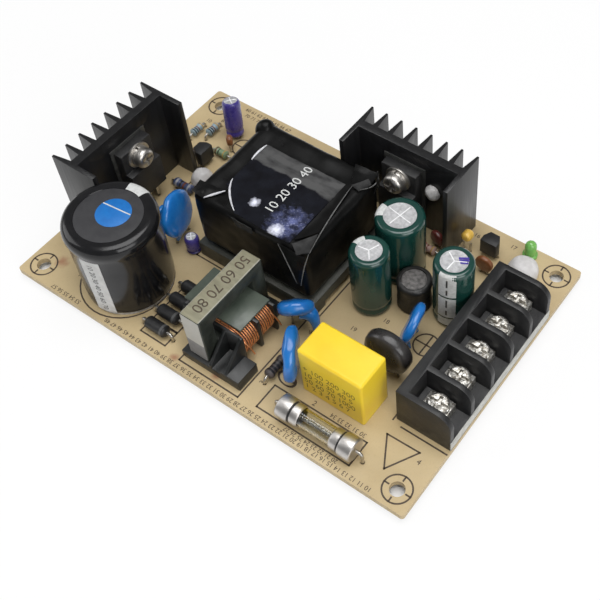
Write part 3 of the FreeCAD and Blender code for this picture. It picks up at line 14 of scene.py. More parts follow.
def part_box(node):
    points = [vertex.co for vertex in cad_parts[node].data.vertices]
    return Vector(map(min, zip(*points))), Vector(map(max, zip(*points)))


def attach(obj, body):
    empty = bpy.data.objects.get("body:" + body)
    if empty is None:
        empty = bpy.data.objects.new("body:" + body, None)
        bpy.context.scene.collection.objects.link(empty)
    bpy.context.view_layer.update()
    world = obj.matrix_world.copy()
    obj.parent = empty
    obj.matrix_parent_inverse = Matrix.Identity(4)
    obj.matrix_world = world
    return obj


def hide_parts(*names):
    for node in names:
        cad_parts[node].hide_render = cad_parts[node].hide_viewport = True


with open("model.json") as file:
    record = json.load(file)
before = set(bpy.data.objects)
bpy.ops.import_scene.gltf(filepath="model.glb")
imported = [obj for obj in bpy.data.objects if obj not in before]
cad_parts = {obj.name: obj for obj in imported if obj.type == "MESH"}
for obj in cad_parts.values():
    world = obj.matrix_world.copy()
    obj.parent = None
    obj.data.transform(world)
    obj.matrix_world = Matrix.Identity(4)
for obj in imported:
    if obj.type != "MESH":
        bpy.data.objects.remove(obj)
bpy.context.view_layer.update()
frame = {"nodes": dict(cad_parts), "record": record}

LOG = logging.getLogger("power_supply")
MM = 0.001
NOISE_SEED = 1
INK_THICK = 0.03
ARC_STEPS = 12
PILL_STEPS = 14
PILL_FULLNESS = 0.62
Colour = tuple[float, float, float]
Point = tuple[float, float]
Triple = tuple[float, float, float]
Mesh = bmesh.types.BMesh
Socket = bpy.types.NodeSocket
IDENTITY = Matrix.Identity(4)


class Slot(Enum):
    """The record's material slots that the CAD nodes take their finish from."""

    BOARD = "board"
    SOLDER = "solder"
    HEATSINK = "heatsink"
    WIRE = "tin_wire"
    INSULATOR = "insulator"
    MOULDING = "device_moulding"
    SCREW = "screw_metal"
    CAN = "can_metal"
    BLACK_SLEEVE = "black_sleeve"
    TOP_DISC = "top_disc"
    STICKER = "blue_sticker"
    LABEL = "white_label"
    FERRITE = "ferrite"
    BOBBIN = "dark_plastic"
    COPPER = "copper_wire"
    TAPE = "black_tape"
    FILM = "gloss_film"
    CORE = "coated_core"
    SHEET = "grey_sheet"
    YELLOW = "yellow_resin"
    GLASS = "clear_glass"
    CAP = "plated_cap"
    BLUE = "blue_resin"
    BLACK_RESIN = "black_resin"
    GREEN_SLEEVE = "green_sleeve"
    HOUSING = "black_housing"
    STEEL = "plated_steel"
    STRIP = "pale_strip"
    LENS = "green_lens"
    RESISTOR = "resistor_coat"
    VIOLET = "violet_sleeve"
    ORANGE = "orange_resin"
    SILICONE = "white_silicone"


class Axis(Enum):
    """The direction that a lying piece points in."""

    X = "X"
    Y = "Y"

    def matrix(self) -> Matrix:
        """The rotation that turns Z to this axis."""
        angle, about = (math.pi / 2, "Y") if self is Axis.X else (-math.pi / 2, "X")
        return Matrix.Rotation(angle, 4, about)


# Finishes


def fill(node: bpy.types.Node, values: Mapping[str, float | Sequence[float]]) -> None:
    """Sets a node's inputs by their names."""
    for name, value in values.items():
        node.inputs[name].default_value = value


class Nodes:
    """A material's node tree with short calls for the nodes that the finishes use."""

    def __init__(self, material: bpy.types.Material) -> None:
        """Starts the tree with a shader and its output.

        Args:
            material: the material whose nodes are made.
        """
        material.use_nodes = True
        self.tree = material.node_tree
        self.tree.nodes.clear()
        self.shader = self.add("BsdfPrincipled")
        self.output = self.add("OutputMaterial")
        self.link(self.shader.outputs["BSDF"], self.output.inputs["Surface"])

    def add(self, kind: str) -> bpy.types.Node:
        """A new shader node of a kind."""
        return self.tree.nodes.new("ShaderNode" + kind)

    def link(self, source: Socket, target: Socket) -> None:
        """Joins two sockets."""
        self.tree.links.new(source, target)

    def place(self, stretch: Triple = (1.0, 1.0, 1.0)) -> Socket:
        """Object coordinates in millimetres, drawn out along the axes.

        Args:
            stretch: how much each axis is scaled; a small number draws the pattern out.

        Returns:
            The vector socket.
        """
        where = self.add("TexCoord")
        mapping = self.add("Mapping")
        fill(mapping, {"Scale": [s / MM for s in stretch]})
        self.link(where.outputs["Object"], mapping.inputs["Vector"])
        return mapping.outputs["Vector"]

    def noise(self, size_mm: float, stretch: Triple = (1.0, 1.0, 1.0)) -> Socket:
        """A cloudy value between 0 and 1.

        Args:
            size_mm: the size of its patches.
            stretch: how much each axis is scaled.

        Returns:
            The value socket.
        """
        node = self.add("TexNoise")
        fill(node, {"Scale": 1.0 / size_mm, "Detail": 4.0})
        self.link(self.place(stretch), node.inputs["Vector"])
        return node.outputs["Fac"]

    def between(self, value: Socket, low: float, high: float, at: Point = (0.3, 0.7)) -> Socket:
        """The value moved into a range.

        Args:
            value: the value to move.
            low: what it becomes at the first stop.
            high: what it becomes at the second stop.
            at: the two stops.

        Returns:
            The value socket.
        """
        node = self.add("MapRange")
        fill(node, dict(zip(("From Min", "From Max", "To Min", "To Max"), (*at, low, high))))
        self.link(value, node.inputs["Value"])
        return node.outputs["Result"]

    def blend(self, share: Socket, first: Colour | Socket, second: Colour | Socket) -> Socket:
        """A colour between two others.

        Args:
            share: how much of the second colour shows.
            first: the colour at 0.
            second: the colour at 1.

        Returns:
            The colour socket.
        """
        node = self.add("Mix")
        node.data_type = "RGBA"
        self.link(share, node.inputs["Factor"])
        for name, colour in (("A", first), ("B", second)):
            socket = next(s for s in node.inputs if s.name == name and s.type == "RGBA")
            if isinstance(colour, tuple):
                socket.default_value = (*colour, 1.0)
            else:
                self.link(colour, socket)
        return next(s for s in node.outputs if s.type == "RGBA")

    def maths(self, kind: str, first: Socket, second: float | Socket = 0.0) -> Socket:
        """One step of arithmetic on values."""
        node = self.add("Math")
        node.operation = kind
        self.link(first, node.inputs[0])
        if isinstance(second, float):
            node.inputs[1].default_value = second
        else:
            self.link(second, node.inputs[1])
        return node.outputs["Value"]

    def axis(self, name: str) -> Socket:
        """One of the object coordinates, in millimetres."""
        split = self.add("SeparateXYZ")
        self.link(self.place(), split.inputs["Vector"])
        return split.outputs[name]

    def spot(self, x: float, y: float, radius: float, ragged_mm: float = 1.6) -> Socket:
        """A patch with a ragged edge round an upright line.

        Args:
            x: where the line stands.
            y: where the line stands.
            radius: the patch's size.
            ragged_mm: how coarse its edge is.

        Returns:
            A value that is 1 in the patch and 0 outside it.
        """
        gap = self.add("VectorMath")
        gap.operation = "DISTANCE"
        self.link(self.place((1.0, 1.0, 0.0)), gap.inputs[0])
        gap.inputs[1].default_value = (x, y, 0.0)
        swing = self.maths("MULTIPLY", self.noise(ragged_mm), radius)
        edge = self.maths("ADD", gap.outputs["Value"], swing)
        return self.between(edge, 1.0, 0.0, (radius * 0.7, radius * 1.5))

    def relief(self, height: Socket, depth_mm: float) -> None:
        """Bumps on the surface.

        Args:
            height: the value that is highest on the bumps.
            depth_mm: how deep they are.
        """
        node = self.add("Bump")
        fill(node, {"Distance": depth_mm * MM, "Strength": 1.0})
        self.link(height, node.inputs["Height"])
        self.link(node.outputs["Normal"], self.shader.inputs["Normal"])


@dataclass(frozen=True)
class Finish:
    """A surface whose colour, gloss and fine relief vary over it."""

    name: str
    colour: Colour
    second: Colour
    patch_mm: float = 3.0
    gloss: Point = (0.4, 0.55)
    gloss_mm: float = 2.0
    metallic: float = 0.0
    coat: float = 0.0
    relief_mm: float = 0.02
    grain_mm: float = 0.35
    stretch: Triple = (1.0, 1.0, 1.0)
    specular: float = 0.5

    def paint(self, nodes: Nodes) -> Socket:
        """The colour over the surface."""
        share = nodes.between(nodes.noise(self.patch_mm, self.stretch), 0.0, 1.0)
        return nodes.blend(share, self.colour, self.second)

    def shade(self, shader: bpy.types.ShaderNodeBsdfPrincipled) -> None:
        """Sets the values that are the same all over the surface."""
        fill(shader, {"Metallic": self.metallic, "Specular IOR Level": self.specular})
        fill(shader, {"Coat Weight": self.coat, "Coat Roughness": 0.08})

    def build(self) -> bpy.types.Material:
        """The material, made once.

        Returns:
            The material with this finish's name.
        """
        made = bpy.data.materials.get(self.name)
        if made:
            return made
        material = bpy.data.materials.new(self.name)
        nodes = Nodes(material)
        nodes.link(self.paint(nodes), nodes.shader.inputs["Base Color"])
        gloss = nodes.between(nodes.noise(self.gloss_mm, self.stretch), *self.gloss)
        nodes.link(gloss, nodes.shader.inputs["Roughness"])
        nodes.relief(nodes.noise(self.grain_mm, self.stretch), self.relief_mm)
        self.shade(nodes.shader)
        return material


@dataclass(frozen=True)
class ClearFinish(Finish):
    """Glass or clear resin: light goes through it."""

    through: float = 1.0
    ior: float = 1.5

    def shade(self, shader: bpy.types.ShaderNodeBsdfPrincipled) -> None:
        """Adds the share of light that goes through."""
        super().shade(shader)
        fill(shader, {"Transmission Weight": self.through, "IOR": self.ior})


@dataclass(frozen=True)
class BandedFinish(Finish):
    """A coating with colour rings along the piece, read from its attribute 'along'."""

    rings: tuple[tuple[float, Colour], ...] = ()
    ring_width: float = 0.09

    def paint(self, nodes: Nodes) -> Socket:
        """The coating's colour with the rings over it."""
        paint = super().paint(nodes)
        along = nodes.add("Attribute")
        along.attribute_name = "along"
        for middle, colour in self.rings:
            offset = nodes.maths("SUBTRACT", along.outputs["Fac"], middle)
            distance = nodes.maths("ABSOLUTE", offset)
            inside = nodes.maths("LESS_THAN", distance, self.ring_width / 2)
            paint = nodes.blend(inside, paint, colour)
        return paint


@dataclass(frozen=True)
class BoardFinish(Finish):
    """Paper laminate: fibre specks, a darker underside and reddish flux stains."""

    stains: tuple[Triple, ...] = ()
    stain_colour: Colour = (0.30, 0.12, 0.06)
    stain_share: float = 0.75
    speck_shade: float = 0.6
    under_colour: Colour = (0.20, 0.16, 0.08)

    def paint(self, nodes: Nodes) -> Socket:
        """The laminate with its stains; each stain is (x, y, radius) in millimetres."""
        paint = super().paint(nodes)
        specks = nodes.between(nodes.noise(0.25, (1.0, 0.35, 1.0)), 0.0, 0.35, (0.55, 0.8))
        paint = nodes.blend(specks, paint, tuple(c * self.speck_shade for c in self.colour))
        for stain in self.stains:
            share = nodes.maths("MULTIPLY", nodes.spot(*stain), self.stain_share)
            paint = nodes.blend(share, paint, self.stain_colour)
        facing = nodes.add("NewGeometry")
        split = nodes.add("SeparateXYZ")
        nodes.link(facing.outputs["Normal"], split.inputs["Vector"])
        below = nodes.maths("LESS_THAN", split.outputs["Z"], -0.5)
        return nodes.blend(below, paint, self.under_colour)


@dataclass(frozen=True)
class FilmFinish(Finish):
    """Glossy film over dark tape, with a dull band at its back, a painted speckled reflection and
    painted glares.
    """

    band_edge: Point = (8.9, 9.4)
    band_colour: Colour = (0.085, 0.085, 0.085)
    band_second: Colour = (0.035, 0.035, 0.036)
    # painted reflection: a bluish speckled patch and white glares stand in for lamp light mirrored
    # by the film
    painted_reflection: Triple = (3.2, -3.4, 5.6)
    painted_reflection_colour: Colour = (0.12, 0.14, 0.30)
    painted_reflection_speck_colour: Colour = (0.42, 0.45, 0.66)
    painted_glares: tuple[Triple, ...] = ((-7.5, -2.6, 1.5), (1.9, -6.3, 2.2))
    painted_glare_colour: Colour = (0.78, 0.80, 0.92)

    def paint(self, nodes: Nodes) -> Socket:
        """The dark film with its band, its painted speckled reflection and its painted glares."""
        paint = super().paint(nodes)
        wavy = nodes.maths("MULTIPLY", nodes.noise(4.0), 2.4)
        back = nodes.maths("ADD", nodes.axis("Y"), wavy)
        band = nodes.between(back, 0.0, 1.0, self.band_edge)
        streaks = nodes.between(nodes.noise(2.6, (0.5, 1.2, 1.0)), 0.0, 1.0, (0.45, 0.7))
        dull = nodes.blend(streaks, self.band_colour, self.band_second)
        paint = nodes.blend(band, paint, dull)
        # painted reflection: speckles in a cloudy patch and white glares, in place of mirrored lamp
        # light
        specks = nodes.between(nodes.noise(0.5), 0.0, 1.0, (0.56, 0.66))
        painted_reflection = nodes.blend(specks, self.painted_reflection_colour, self.painted_reflection_speck_colour)
        clouds = nodes.between(nodes.noise(2.4), 0.15, 1.0, (0.38, 0.6))
        share = nodes.maths("MULTIPLY", nodes.spot(*self.painted_reflection), clouds)
        paint = nodes.blend(share, paint, painted_reflection)
        for glare in self.painted_glares:
            paint = nodes.blend(nodes.spot(*glare, 0.8), paint, self.painted_glare_colour)
        return paint


@dataclass(frozen=True)
class CoreFinish(Finish):
    """A dark core whose outer rim has a pale brushed coat; the finish knows its box."""

    low: Triple = (-4.45, -34.0, 5.9)
    high: Triple = (1.45, -11.8, 21.2)
    edge: float = 0.12
    coat_colour: Colour = (0.28, 0.265, 0.18)
    coat_second: Colour = (0.19, 0.18, 0.12)
    end_colour: Colour = (0.40, 0.39, 0.35)
    # painted shade: the front end is darker below this height
    foot_shade_colour: Colour = (0.16, 0.16, 0.165)
    foot_shade_height: float = 12.0
    worn_share: float = 0.7
    worn_inset: Point = (0.55, 0.25)
    rim_inset: float = 0.08

    def paint(self, nodes: Nodes) -> Socket:
        """Dark on the broad sides and in the window, pale on the top and the ends; the front end
        has painted shade on its lower part.
        """
        dark = super().paint(nodes)
        x, y, z = (nodes.axis(name) for name in "XYZ")
        brushed = nodes.between(nodes.noise(1.1, (0.25, 1.0, 0.25)), 0.0, 1.0)
        pale = nodes.blend(brushed, self.coat_colour, self.coat_second)
        middle = (self.low[0] + self.high[0]) / 2
        half = (self.high[0] - self.low[0]) / 2
        aside = nodes.maths("ABSOLUTE", nodes.maths("SUBTRACT", x, middle))
        stops = tuple(half - inset for inset in self.worn_inset)
        worn = nodes.between(aside, 0.0, self.worn_share, stops)
        pale = nodes.blend(worn, pale, self.end_colour)
        # painted shade: the front end turns darker below the foot height
        front = nodes.maths("LESS_THAN", y, self.low[1] + self.edge)
        end = nodes.blend(
            nodes.maths("LESS_THAN", z, self.foot_shade_height), self.end_colour, self.foot_shade_colour
        )
        pale = nodes.blend(front, pale, end)
        back = nodes.maths("GREATER_THAN", y, self.high[1] - self.edge)
        top = nodes.maths("GREATER_THAN", z, self.high[2] - self.edge)
        outer = nodes.maths("MAXIMUM", nodes.maths("MAXIMUM", front, back), top)
        inside = nodes.maths("LESS_THAN", aside, half - self.rim_inset)
        return nodes.blend(nodes.maths("MULTIPLY", outer, inside), dark, pale)


LAMINATE = BoardFinish(
    "laminate",
    (0.535, 0.418, 0.234),
    (0.47, 0.36, 0.195),
    patch_mm=9.0,
    gloss=(0.42, 0.6),
    relief_mm=0.01,
    grain_mm=0.3,
    stains=((-46.5, -24.5, 2.6), (-51.0, -31.0, 2.2), (3.5, -34.5, 1.6), (-8.0, -36.4, 1.4)),
)
INK = Finish("board_ink", (0.035, 0.025, 0.018), (0.09, 0.06, 0.035), 0.8, (0.5, 0.7))
SOLDER = Finish("solder_metal", (0.62, 0.62, 0.60), (0.48, 0.48, 0.47), 1.2, (0.25, 0.45), 0.8, 1.0)
ANODISED = Finish(
    "black_anodised",
    (0.006, 0.006, 0.0065),
    (0.011, 0.011, 0.012),
    patch_mm=1.1,
    gloss=(0.28, 0.4),
    gloss_mm=0.7,
    relief_mm=0.008,
    grain_mm=0.5,
    stretch=(1.0, 1.0, 0.06),
)
TINNED = Finish("tinned_wire", (0.60, 0.58, 0.54), (0.42, 0.40, 0.37), 1.0, (0.22, 0.42), 0.6, 1.0)
MICA = Finish(
    "insulating_sheet", (0.030, 0.031, 0.030), (0.060, 0.060, 0.057), 1.6, (0.3, 0.5), coat=0.1
)
EPOXY = Finish(
    "moulded_epoxy", (0.010, 0.010, 0.011), (0.018, 0.018, 0.018), 2.0, (0.42, 0.6), relief_mm=0.03
)
NICKEL = Finish(
    "nickel_plate", (0.60, 0.58, 0.55), (0.52, 0.50, 0.47), 1.8, (0.34, 0.42), 1.6, 1.0,
    relief_mm=0.001,
)
ALUMINIUM = Finish(
    "drawn_aluminium", (0.62, 0.62, 0.63), (0.38, 0.38, 0.39), 0.8, (0.42, 0.56), 0.8, 0.4,
    relief_mm=0.03, grain_mm=0.4,
)
SCORE = Finish("scored_line", (0.92, 0.92, 0.93), (0.84, 0.84, 0.85), 0.8, (0.3, 0.45), 0.8, 0.15)
BLACK_FILM = Finish(
    "black_shrink_film", (0.006, 0.006, 0.007), (0.011, 0.011, 0.012), 4.0, (0.14, 0.24),
    3.0, coat=0.1, relief_mm=0.015, grain_mm=1.6, specular=0.35,
)
DISC_FACE = Finish(
    "grey_end_disc", (0.021, 0.021, 0.024), (0.032, 0.032, 0.035), 2.2, (0.5, 0.66),
    relief_mm=0.02, grain_mm=0.4,
)
BLUE_PAPER = Finish(
    "blue_sticker_paper", (0.002, 0.13, 0.44), (0.006, 0.16, 0.50), 1.6, (0.36, 0.5),
)
WHITE_INK = Finish("white_ink", (0.66, 0.67, 0.66), (0.50, 0.51, 0.50), 0.7, (0.35, 0.55))
CASE_INK = Finish("case_ink", (0.16, 0.10, 0.012), (0.30, 0.20, 0.02), 0.6, (0.35, 0.55))
BLACK_INK = Finish("black_ink", (0.02, 0.02, 0.022), (0.045, 0.045, 0.045), 0.7, (0.35, 0.55))
PAPER = Finish("label_paper", (0.62, 0.62, 0.61), (0.50, 0.50, 0.49), 1.5, (0.5, 0.65))
FERRITE = Finish(
    "grey_ferrite", (0.050, 0.052, 0.048), (0.085, 0.087, 0.082), 1.2, (0.5, 0.7),
    relief_mm=0.05, grain_mm=0.3,
)
DRUM_END = Finish(
    "mottled_ferrite", (0.17, 0.16, 0.155), (0.055, 0.052, 0.05), 0.8, (0.5, 0.7),
    relief_mm=0.08, grain_mm=0.5,
)
DULL_FILM = Finish(
    "dull_shrink_film", (0.008, 0.008, 0.008), (0.016, 0.015, 0.014), 1.4, (0.38, 0.56),
    relief_mm=0.08, grain_mm=0.9,
)
BOBBIN = Finish(
    "bobbin_plastic", (0.034, 0.036, 0.028), (0.055, 0.056, 0.044), 3.0, (0.38, 0.55),
    relief_mm=0.03,
)
FOOT = Finish("black_nylon", (0.008, 0.009, 0.009), (0.018, 0.019, 0.019), 2.0, (0.3, 0.46))
COPPER = Finish(
    "enamelled_copper", (0.88, 0.40, 0.17), (0.70, 0.26, 0.10), 2.0, (0.24, 0.36), 0.8, 0.7,
    coat=0.2, relief_mm=0.002,
)
# painted shade: dark copper for the shaded inner turns that show between the wires
SHADED_WINDING = Finish(
    "winding_in_painted_shade", (0.045, 0.016, 0.010), (0.022, 0.010, 0.008), 0.8, (0.4, 0.6), relief_mm=0.02
)
TAPE = Finish(
    "glossy_tape", (0.003, 0.003, 0.003), (0.007, 0.007, 0.007), 3.0, (0.26, 0.42), 4.0,
    relief_mm=0.04, grain_mm=2.4, specular=0.14,
)
# partly painted sheen: lighter grey for matte tape, and on the wrap's front edge for dull lamp
# light
DULL_TAPE_AND_SHEEN = Finish(
    "dull_tape_and_painted_sheen", (0.030, 0.030, 0.030), (0.012, 0.012, 0.012), 1.6, (0.4, 0.55), 1.2,
    relief_mm=0.03, grain_mm=0.8, specular=0.15,
)
# painted highlight: pale grey for lamp light caught along the fold creases
CREASE_HIGHLIGHT = Finish(
    "tape_crease_painted_highlight", (0.17, 0.17, 0.17), (0.07, 0.07, 0.068), 1.6, (0.3, 0.45), relief_mm=0.01
)
# painted highlight: near white for lamp light mirrored along the film's edges
PAINTED_GLINT = Finish(
    "painted_highlight_tape_edge", (0.74, 0.74, 0.77), (0.50, 0.50, 0.54), 1.2, (0.2, 0.35), relief_mm=0.01
)
CLEAR_FILM = FilmFinish(
    "film_over_tape", (0.004, 0.004, 0.006), (0.009, 0.010, 0.015), 3.4, (0.1, 0.22), 2.0,
    relief_mm=0.02, grain_mm=1.7, specular=0.3,
)
CORE = CoreFinish(
    "brushed_core", (0.018, 0.022, 0.018), (0.034, 0.039, 0.032), 2.5, (0.36, 0.52), 1.2,
    relief_mm=0.02, grain_mm=0.6,
)
GREY_SHEET = Finish(
    "grey_green_sheet", (0.105, 0.125, 0.10), (0.055, 0.07, 0.055), 4.0, (0.3, 0.5), 2.0,
    coat=0.15, relief_mm=0.05, grain_mm=1.0,
)
YELLOW = Finish(
    "yellow_case", (0.90, 0.67, 0.035), (0.86, 0.58, 0.022), 9.0, (0.3, 0.4), 4.0,
    coat=0.05, relief_mm=0.02, grain_mm=0.8,
)
GLASS = ClearFinish(
    "fuse_tube_glass", (0.95, 0.97, 0.96), (0.93, 0.95, 0.94), 3.0, (0.02, 0.06),
    relief_mm=0.002, grain_mm=2.0,
)
CAP_METAL = Finish(
    "plated_brass_cap", (0.62, 0.60, 0.58), (0.52, 0.50, 0.48), 2.4, (0.36, 0.46), 1.6, 1.0,
    relief_mm=0.001,
)
BLUE_DIP = Finish(
    "blue_dip", (0.010, 0.13, 0.43), (0.018, 0.18, 0.52), 2.4, (0.14, 0.26), 2.0,
    coat=0.35, relief_mm=0.09, grain_mm=1.6,
)
BLACK_DIP = Finish(
    "black_dip", (0.018, 0.017, 0.017), (0.034, 0.031, 0.03), 2.2, (0.24, 0.42), 1.5,
    coat=0.2, relief_mm=0.06, grain_mm=0.9,
)
GREEN_FILM = Finish(
    "green_shrink_film", (0.006, 0.040, 0.033), (0.009, 0.052, 0.041), 5.0, (0.14, 0.24), 3.0,
    coat=0.35, relief_mm=0.012, grain_mm=1.6,
)
VIOLET_FILM = Finish(
    "violet_shrink_film", (0.045, 0.033, 0.20), (0.065, 0.05, 0.27), 2.0, (0.22, 0.36), 1.4,
    coat=0.3, relief_mm=0.05, grain_mm=0.7,
)
HOUSING = Finish(
    "housing_plastic", (0.008, 0.008, 0.009), (0.015, 0.015, 0.015), 3.0, (0.36, 0.5),
    relief_mm=0.03, grain_mm=0.25,
)
WORN_STEEL = Finish(
    "worn_plated_steel", (0.84, 0.83, 0.79), (0.19, 0.165, 0.13), 0.8, (0.2, 0.5), 0.6, 0.9,
    relief_mm=0.10, grain_mm=0.5,
)
STRIP = Finish("pale_strip_film", (0.50, 0.50, 0.47), (0.40, 0.40, 0.37), 2.0, (0.35, 0.5))
LENS = ClearFinish(
    "green_lamp_resin", (0.36, 0.85, 0.22), (0.29, 0.78, 0.17), 2.0, (0.04, 0.1), through=0.5,
    relief_mm=0.0
)
VIOLET_INK = Finish("violet_ink", (0.03, 0.012, 0.22), (0.07, 0.045, 0.34), 0.5, (0.4, 0.6))
BROWN_DIP = Finish(
    "brown_dip", (0.25, 0.095, 0.035), (0.18, 0.065, 0.024), 1.2, (0.3, 0.45), 1.0,
    relief_mm=0.06, grain_mm=0.5,
)
RED_DIP = Finish(
    "dark_red_dip", (0.16, 0.035, 0.03), (0.10, 0.03, 0.02), 1.2, (0.25, 0.4), coat=0.2
)
YELLOW_DIP = Finish(
    "yellow_dip", (0.80, 0.52, 0.10), (0.68, 0.42, 0.07), 1.0, (0.25, 0.4), coat=0.2
)
SILICONE = Finish(
    "white_silicone_rubber", (0.68, 0.665, 0.66), (0.56, 0.545, 0.54), 1.6, (0.3, 0.48), 1.0,
    relief_mm=0.12, grain_mm=1.3,
)
RING_BLACK: Colour = (0.012, 0.012, 0.014)
RING_BROWN: Colour = (0.13, 0.035, 0.015)
RING_RED: Colour = (0.35, 0.02, 0.015)
RING_VIOLET: Colour = (0.10, 0.03, 0.16)
RING_GOLD: Colour = (0.42, 0.26, 0.06)
RING_WHITE: Colour = (0.28, 0.28, 0.30)
GREY_BLUE_COAT = BandedFinish(
    "grey_blue_coat", (0.22, 0.30, 0.34), (0.28, 0.37, 0.40), 1.0, (0.32, 0.46),
    rings=((0.16, RING_BLACK), (0.36, RING_BLACK), (0.52, RING_BROWN), (0.84, RING_GOLD)),
)
GREEN_COAT = BandedFinish(
    "pale_green_coat", (0.24, 0.33, 0.20), (0.18, 0.26, 0.15), 1.0, (0.32, 0.46),
    rings=((0.18, RING_BROWN), (0.38, RING_BLACK), (0.82, RING_GOLD)),
)
BLUE_COAT = BandedFinish(
    "blue_coat", (0.06, 0.08, 0.16), (0.045, 0.06, 0.12), 1.0, (0.3, 0.44),
    rings=((0.2, RING_WHITE), (0.4, RING_BLACK), (0.58, RING_BROWN), (0.84, RING_WHITE)),
)
VIOLET_RINGED_COAT = BandedFinish(
    "grey_coat_violet_rings", (0.20, 0.20, 0.24), (0.27, 0.26, 0.29), 1.0, (0.32, 0.46),
    rings=((0.16, RING_BROWN), (0.34, RING_VIOLET), (0.52, RING_BLACK), (0.84, RING_BROWN)),
)
DARK_COAT = BandedFinish(
    "dark_grey_coat", (0.085, 0.07, 0.068), (0.055, 0.046, 0.045), 1.0, (0.4, 0.6),
    rings=((0.2, RING_BLACK), (0.36, RING_BLACK), (0.52, RING_BLACK), (0.68, RING_BLACK)),
)
PINK_COAT = BandedFinish(
    "pale_pink_coat", (0.42, 0.28, 0.24), (0.34, 0.22, 0.18), 1.0, (0.32, 0.46),
    rings=((0.22, RING_RED), (0.44, RING_BROWN), (0.8, RING_GOLD)),
)
DIODE_COAT = BandedFinish(
    "diode_moulding", (0.009, 0.009, 0.010), (0.017, 0.017, 0.017), 1.2, (0.34, 0.5),
    rings=((0.83, (0.07, 0.07, 0.07)),), ring_width=0.1,
)

SLOT_FINISH: dict[Slot, Finish] = {
    Slot.BOARD: LAMINATE,
    Slot.SOLDER: SOLDER,
    Slot.HEATSINK: ANODISED,
    Slot.WIRE: TINNED,
    Slot.INSULATOR: MICA,
    Slot.MOULDING: EPOXY,
    Slot.SCREW: NICKEL,
    Slot.CAN: ALUMINIUM,
    Slot.BLACK_SLEEVE: BLACK_FILM,
    Slot.TOP_DISC: DISC_FACE,
    Slot.STICKER: BLUE_PAPER,
    Slot.LABEL: PAPER,
    Slot.FERRITE: FERRITE,
    Slot.BOBBIN: BOBBIN,
    Slot.COPPER: COPPER,
    Slot.TAPE: TAPE,
    Slot.FILM: CLEAR_FILM,
    Slot.CORE: CORE,
    Slot.SHEET: GREY_SHEET,
    Slot.YELLOW: YELLOW,
    Slot.GLASS: GLASS,
    Slot.CAP: CAP_METAL,
    Slot.BLUE: BLUE_DIP,
    Slot.BLACK_RESIN: BLACK_DIP,
    Slot.GREEN_SLEEVE: GREEN_FILM,
    Slot.HOUSING: HOUSING,
    Slot.STEEL: WORN_STEEL,
    Slot.STRIP: STRIP,
    Slot.LENS: LENS,
    Slot.RESISTOR: GREY_BLUE_COAT,
    Slot.VIOLET: VIOLET_FILM,
    Slot.ORANGE: BROWN_DIP,
    Slot.SILICONE: SILICONE,
}


# Mesh tools; everything is drawn in millimetres in the part's own frame


@dataclass(frozen=True)
class Box:
    """The space that a solid takes, in millimetres."""

    low: Vector
    high: Vector


def node_box(node: str) -> Box:
    """The space of a whole CAD node."""
    low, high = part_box(node)
    return Box(low / MM, high / MM)


def weld(bm: Mesh) -> None:
    """Merges the vertices that lie in one place."""
    bmesh.ops.remove_doubles(bm, verts=bm.verts, dist=0.0005)


def face_out(bm: Mesh) -> None:
    """Turns every face outward."""
    bmesh.ops.recalc_face_normals(bm, faces=bm.faces)


def cad_mesh(node: str) -> Mesh:
    """A merged copy of a CAD node's mesh in millimetres."""
    bm = bmesh.new()
    bm.from_mesh(frame["nodes"][node].data)
    bmesh.ops.scale(bm, vec=(1 / MM,) * 3, verts=bm.verts)
    weld(bm)
    return bm


def sharp_edges(verts: Sequence[bmesh.types.BMVert], degrees: float) -> list[bmesh.types.BMEdge]:
    """The edges between faces that meet at more than an angle."""
    edges = {e for v in verts for e in v.link_edges}
    limit = math.radians(degrees)
    return [e for e in edges if len(e.link_faces) == 2 and e.calc_face_angle(0.0) > limit]


def soften(
    bm: Mesh,
    verts: Sequence[bmesh.types.BMVert],
    width: float,
    segments: int = 2,
    degrees: float = 30.0,
) -> None:
    """Rounds the sharp edges.

    Args:
        bm: the mesh.
        verts: the corners whose edges are looked at.
        width: how far the rounding reaches, in millimetres.
        segments: how many steps it has.
        degrees: what counts as sharp.
    """
    bmesh.ops.bevel(
        bm, geom=sharp_edges(verts, degrees), offset=width, segments=segments, profile=0.5,
        affect="EDGES", material=-1, clamp_overlap=True,
    )


def stand(x: float, y: float, z: float = 0.0, degrees: float = 0.0) -> Matrix:
    """A place in the frame, turned about an upright line."""
    return Matrix.Translation((x, y, z)) @ Matrix.Rotation(math.radians(degrees), 4, "Z")


def add_block(
    bm: Mesh, low: Triple, high: Triple, round_mm: float = 0.0, segments: int = 2
) -> None:
    """A block between two corners, with soft edges.

    Args:
        bm: the mesh.
        low: the lowest corner.
        high: the highest corner.
        round_mm: the rounding of its edges.
        segments: how many steps the rounding has.
    """
    size = Vector(high) - Vector(low)
    middle = (Vector(high) + Vector(low)) / 2
    place = Matrix.Translation(middle) @ Matrix.Diagonal((*size, 1.0))
    made = bmesh.ops.create_cube(bm, size=1.0, matrix=place)
    if round_mm:
        soften(bm, made["verts"], round_mm, segments)


def add_bar(
    bm: Mesh, first: Triple, last: Triple, width: float, thick: float, beyond: float = 0.0
) -> None:
    """A straight flat bar between two points on one level.

    Args:
        bm: the mesh.
        first: the middle of its first end.
        last: the middle of its last end.
        width: how wide it is.
        thick: how thick it is.
        beyond: how much longer it is than the way between the points.
    """
    way = Vector(last) - Vector(first)
    middle = (Vector(last) + Vector(first)) / 2
    size = Matrix.Diagonal((way.length + beyond, width, thick, 1.0))
    place = stand(*middle, math.degrees(math.atan2(way.y, way.x)))
    bmesh.ops.create_cube(bm, size=1.0, matrix=place @ size)


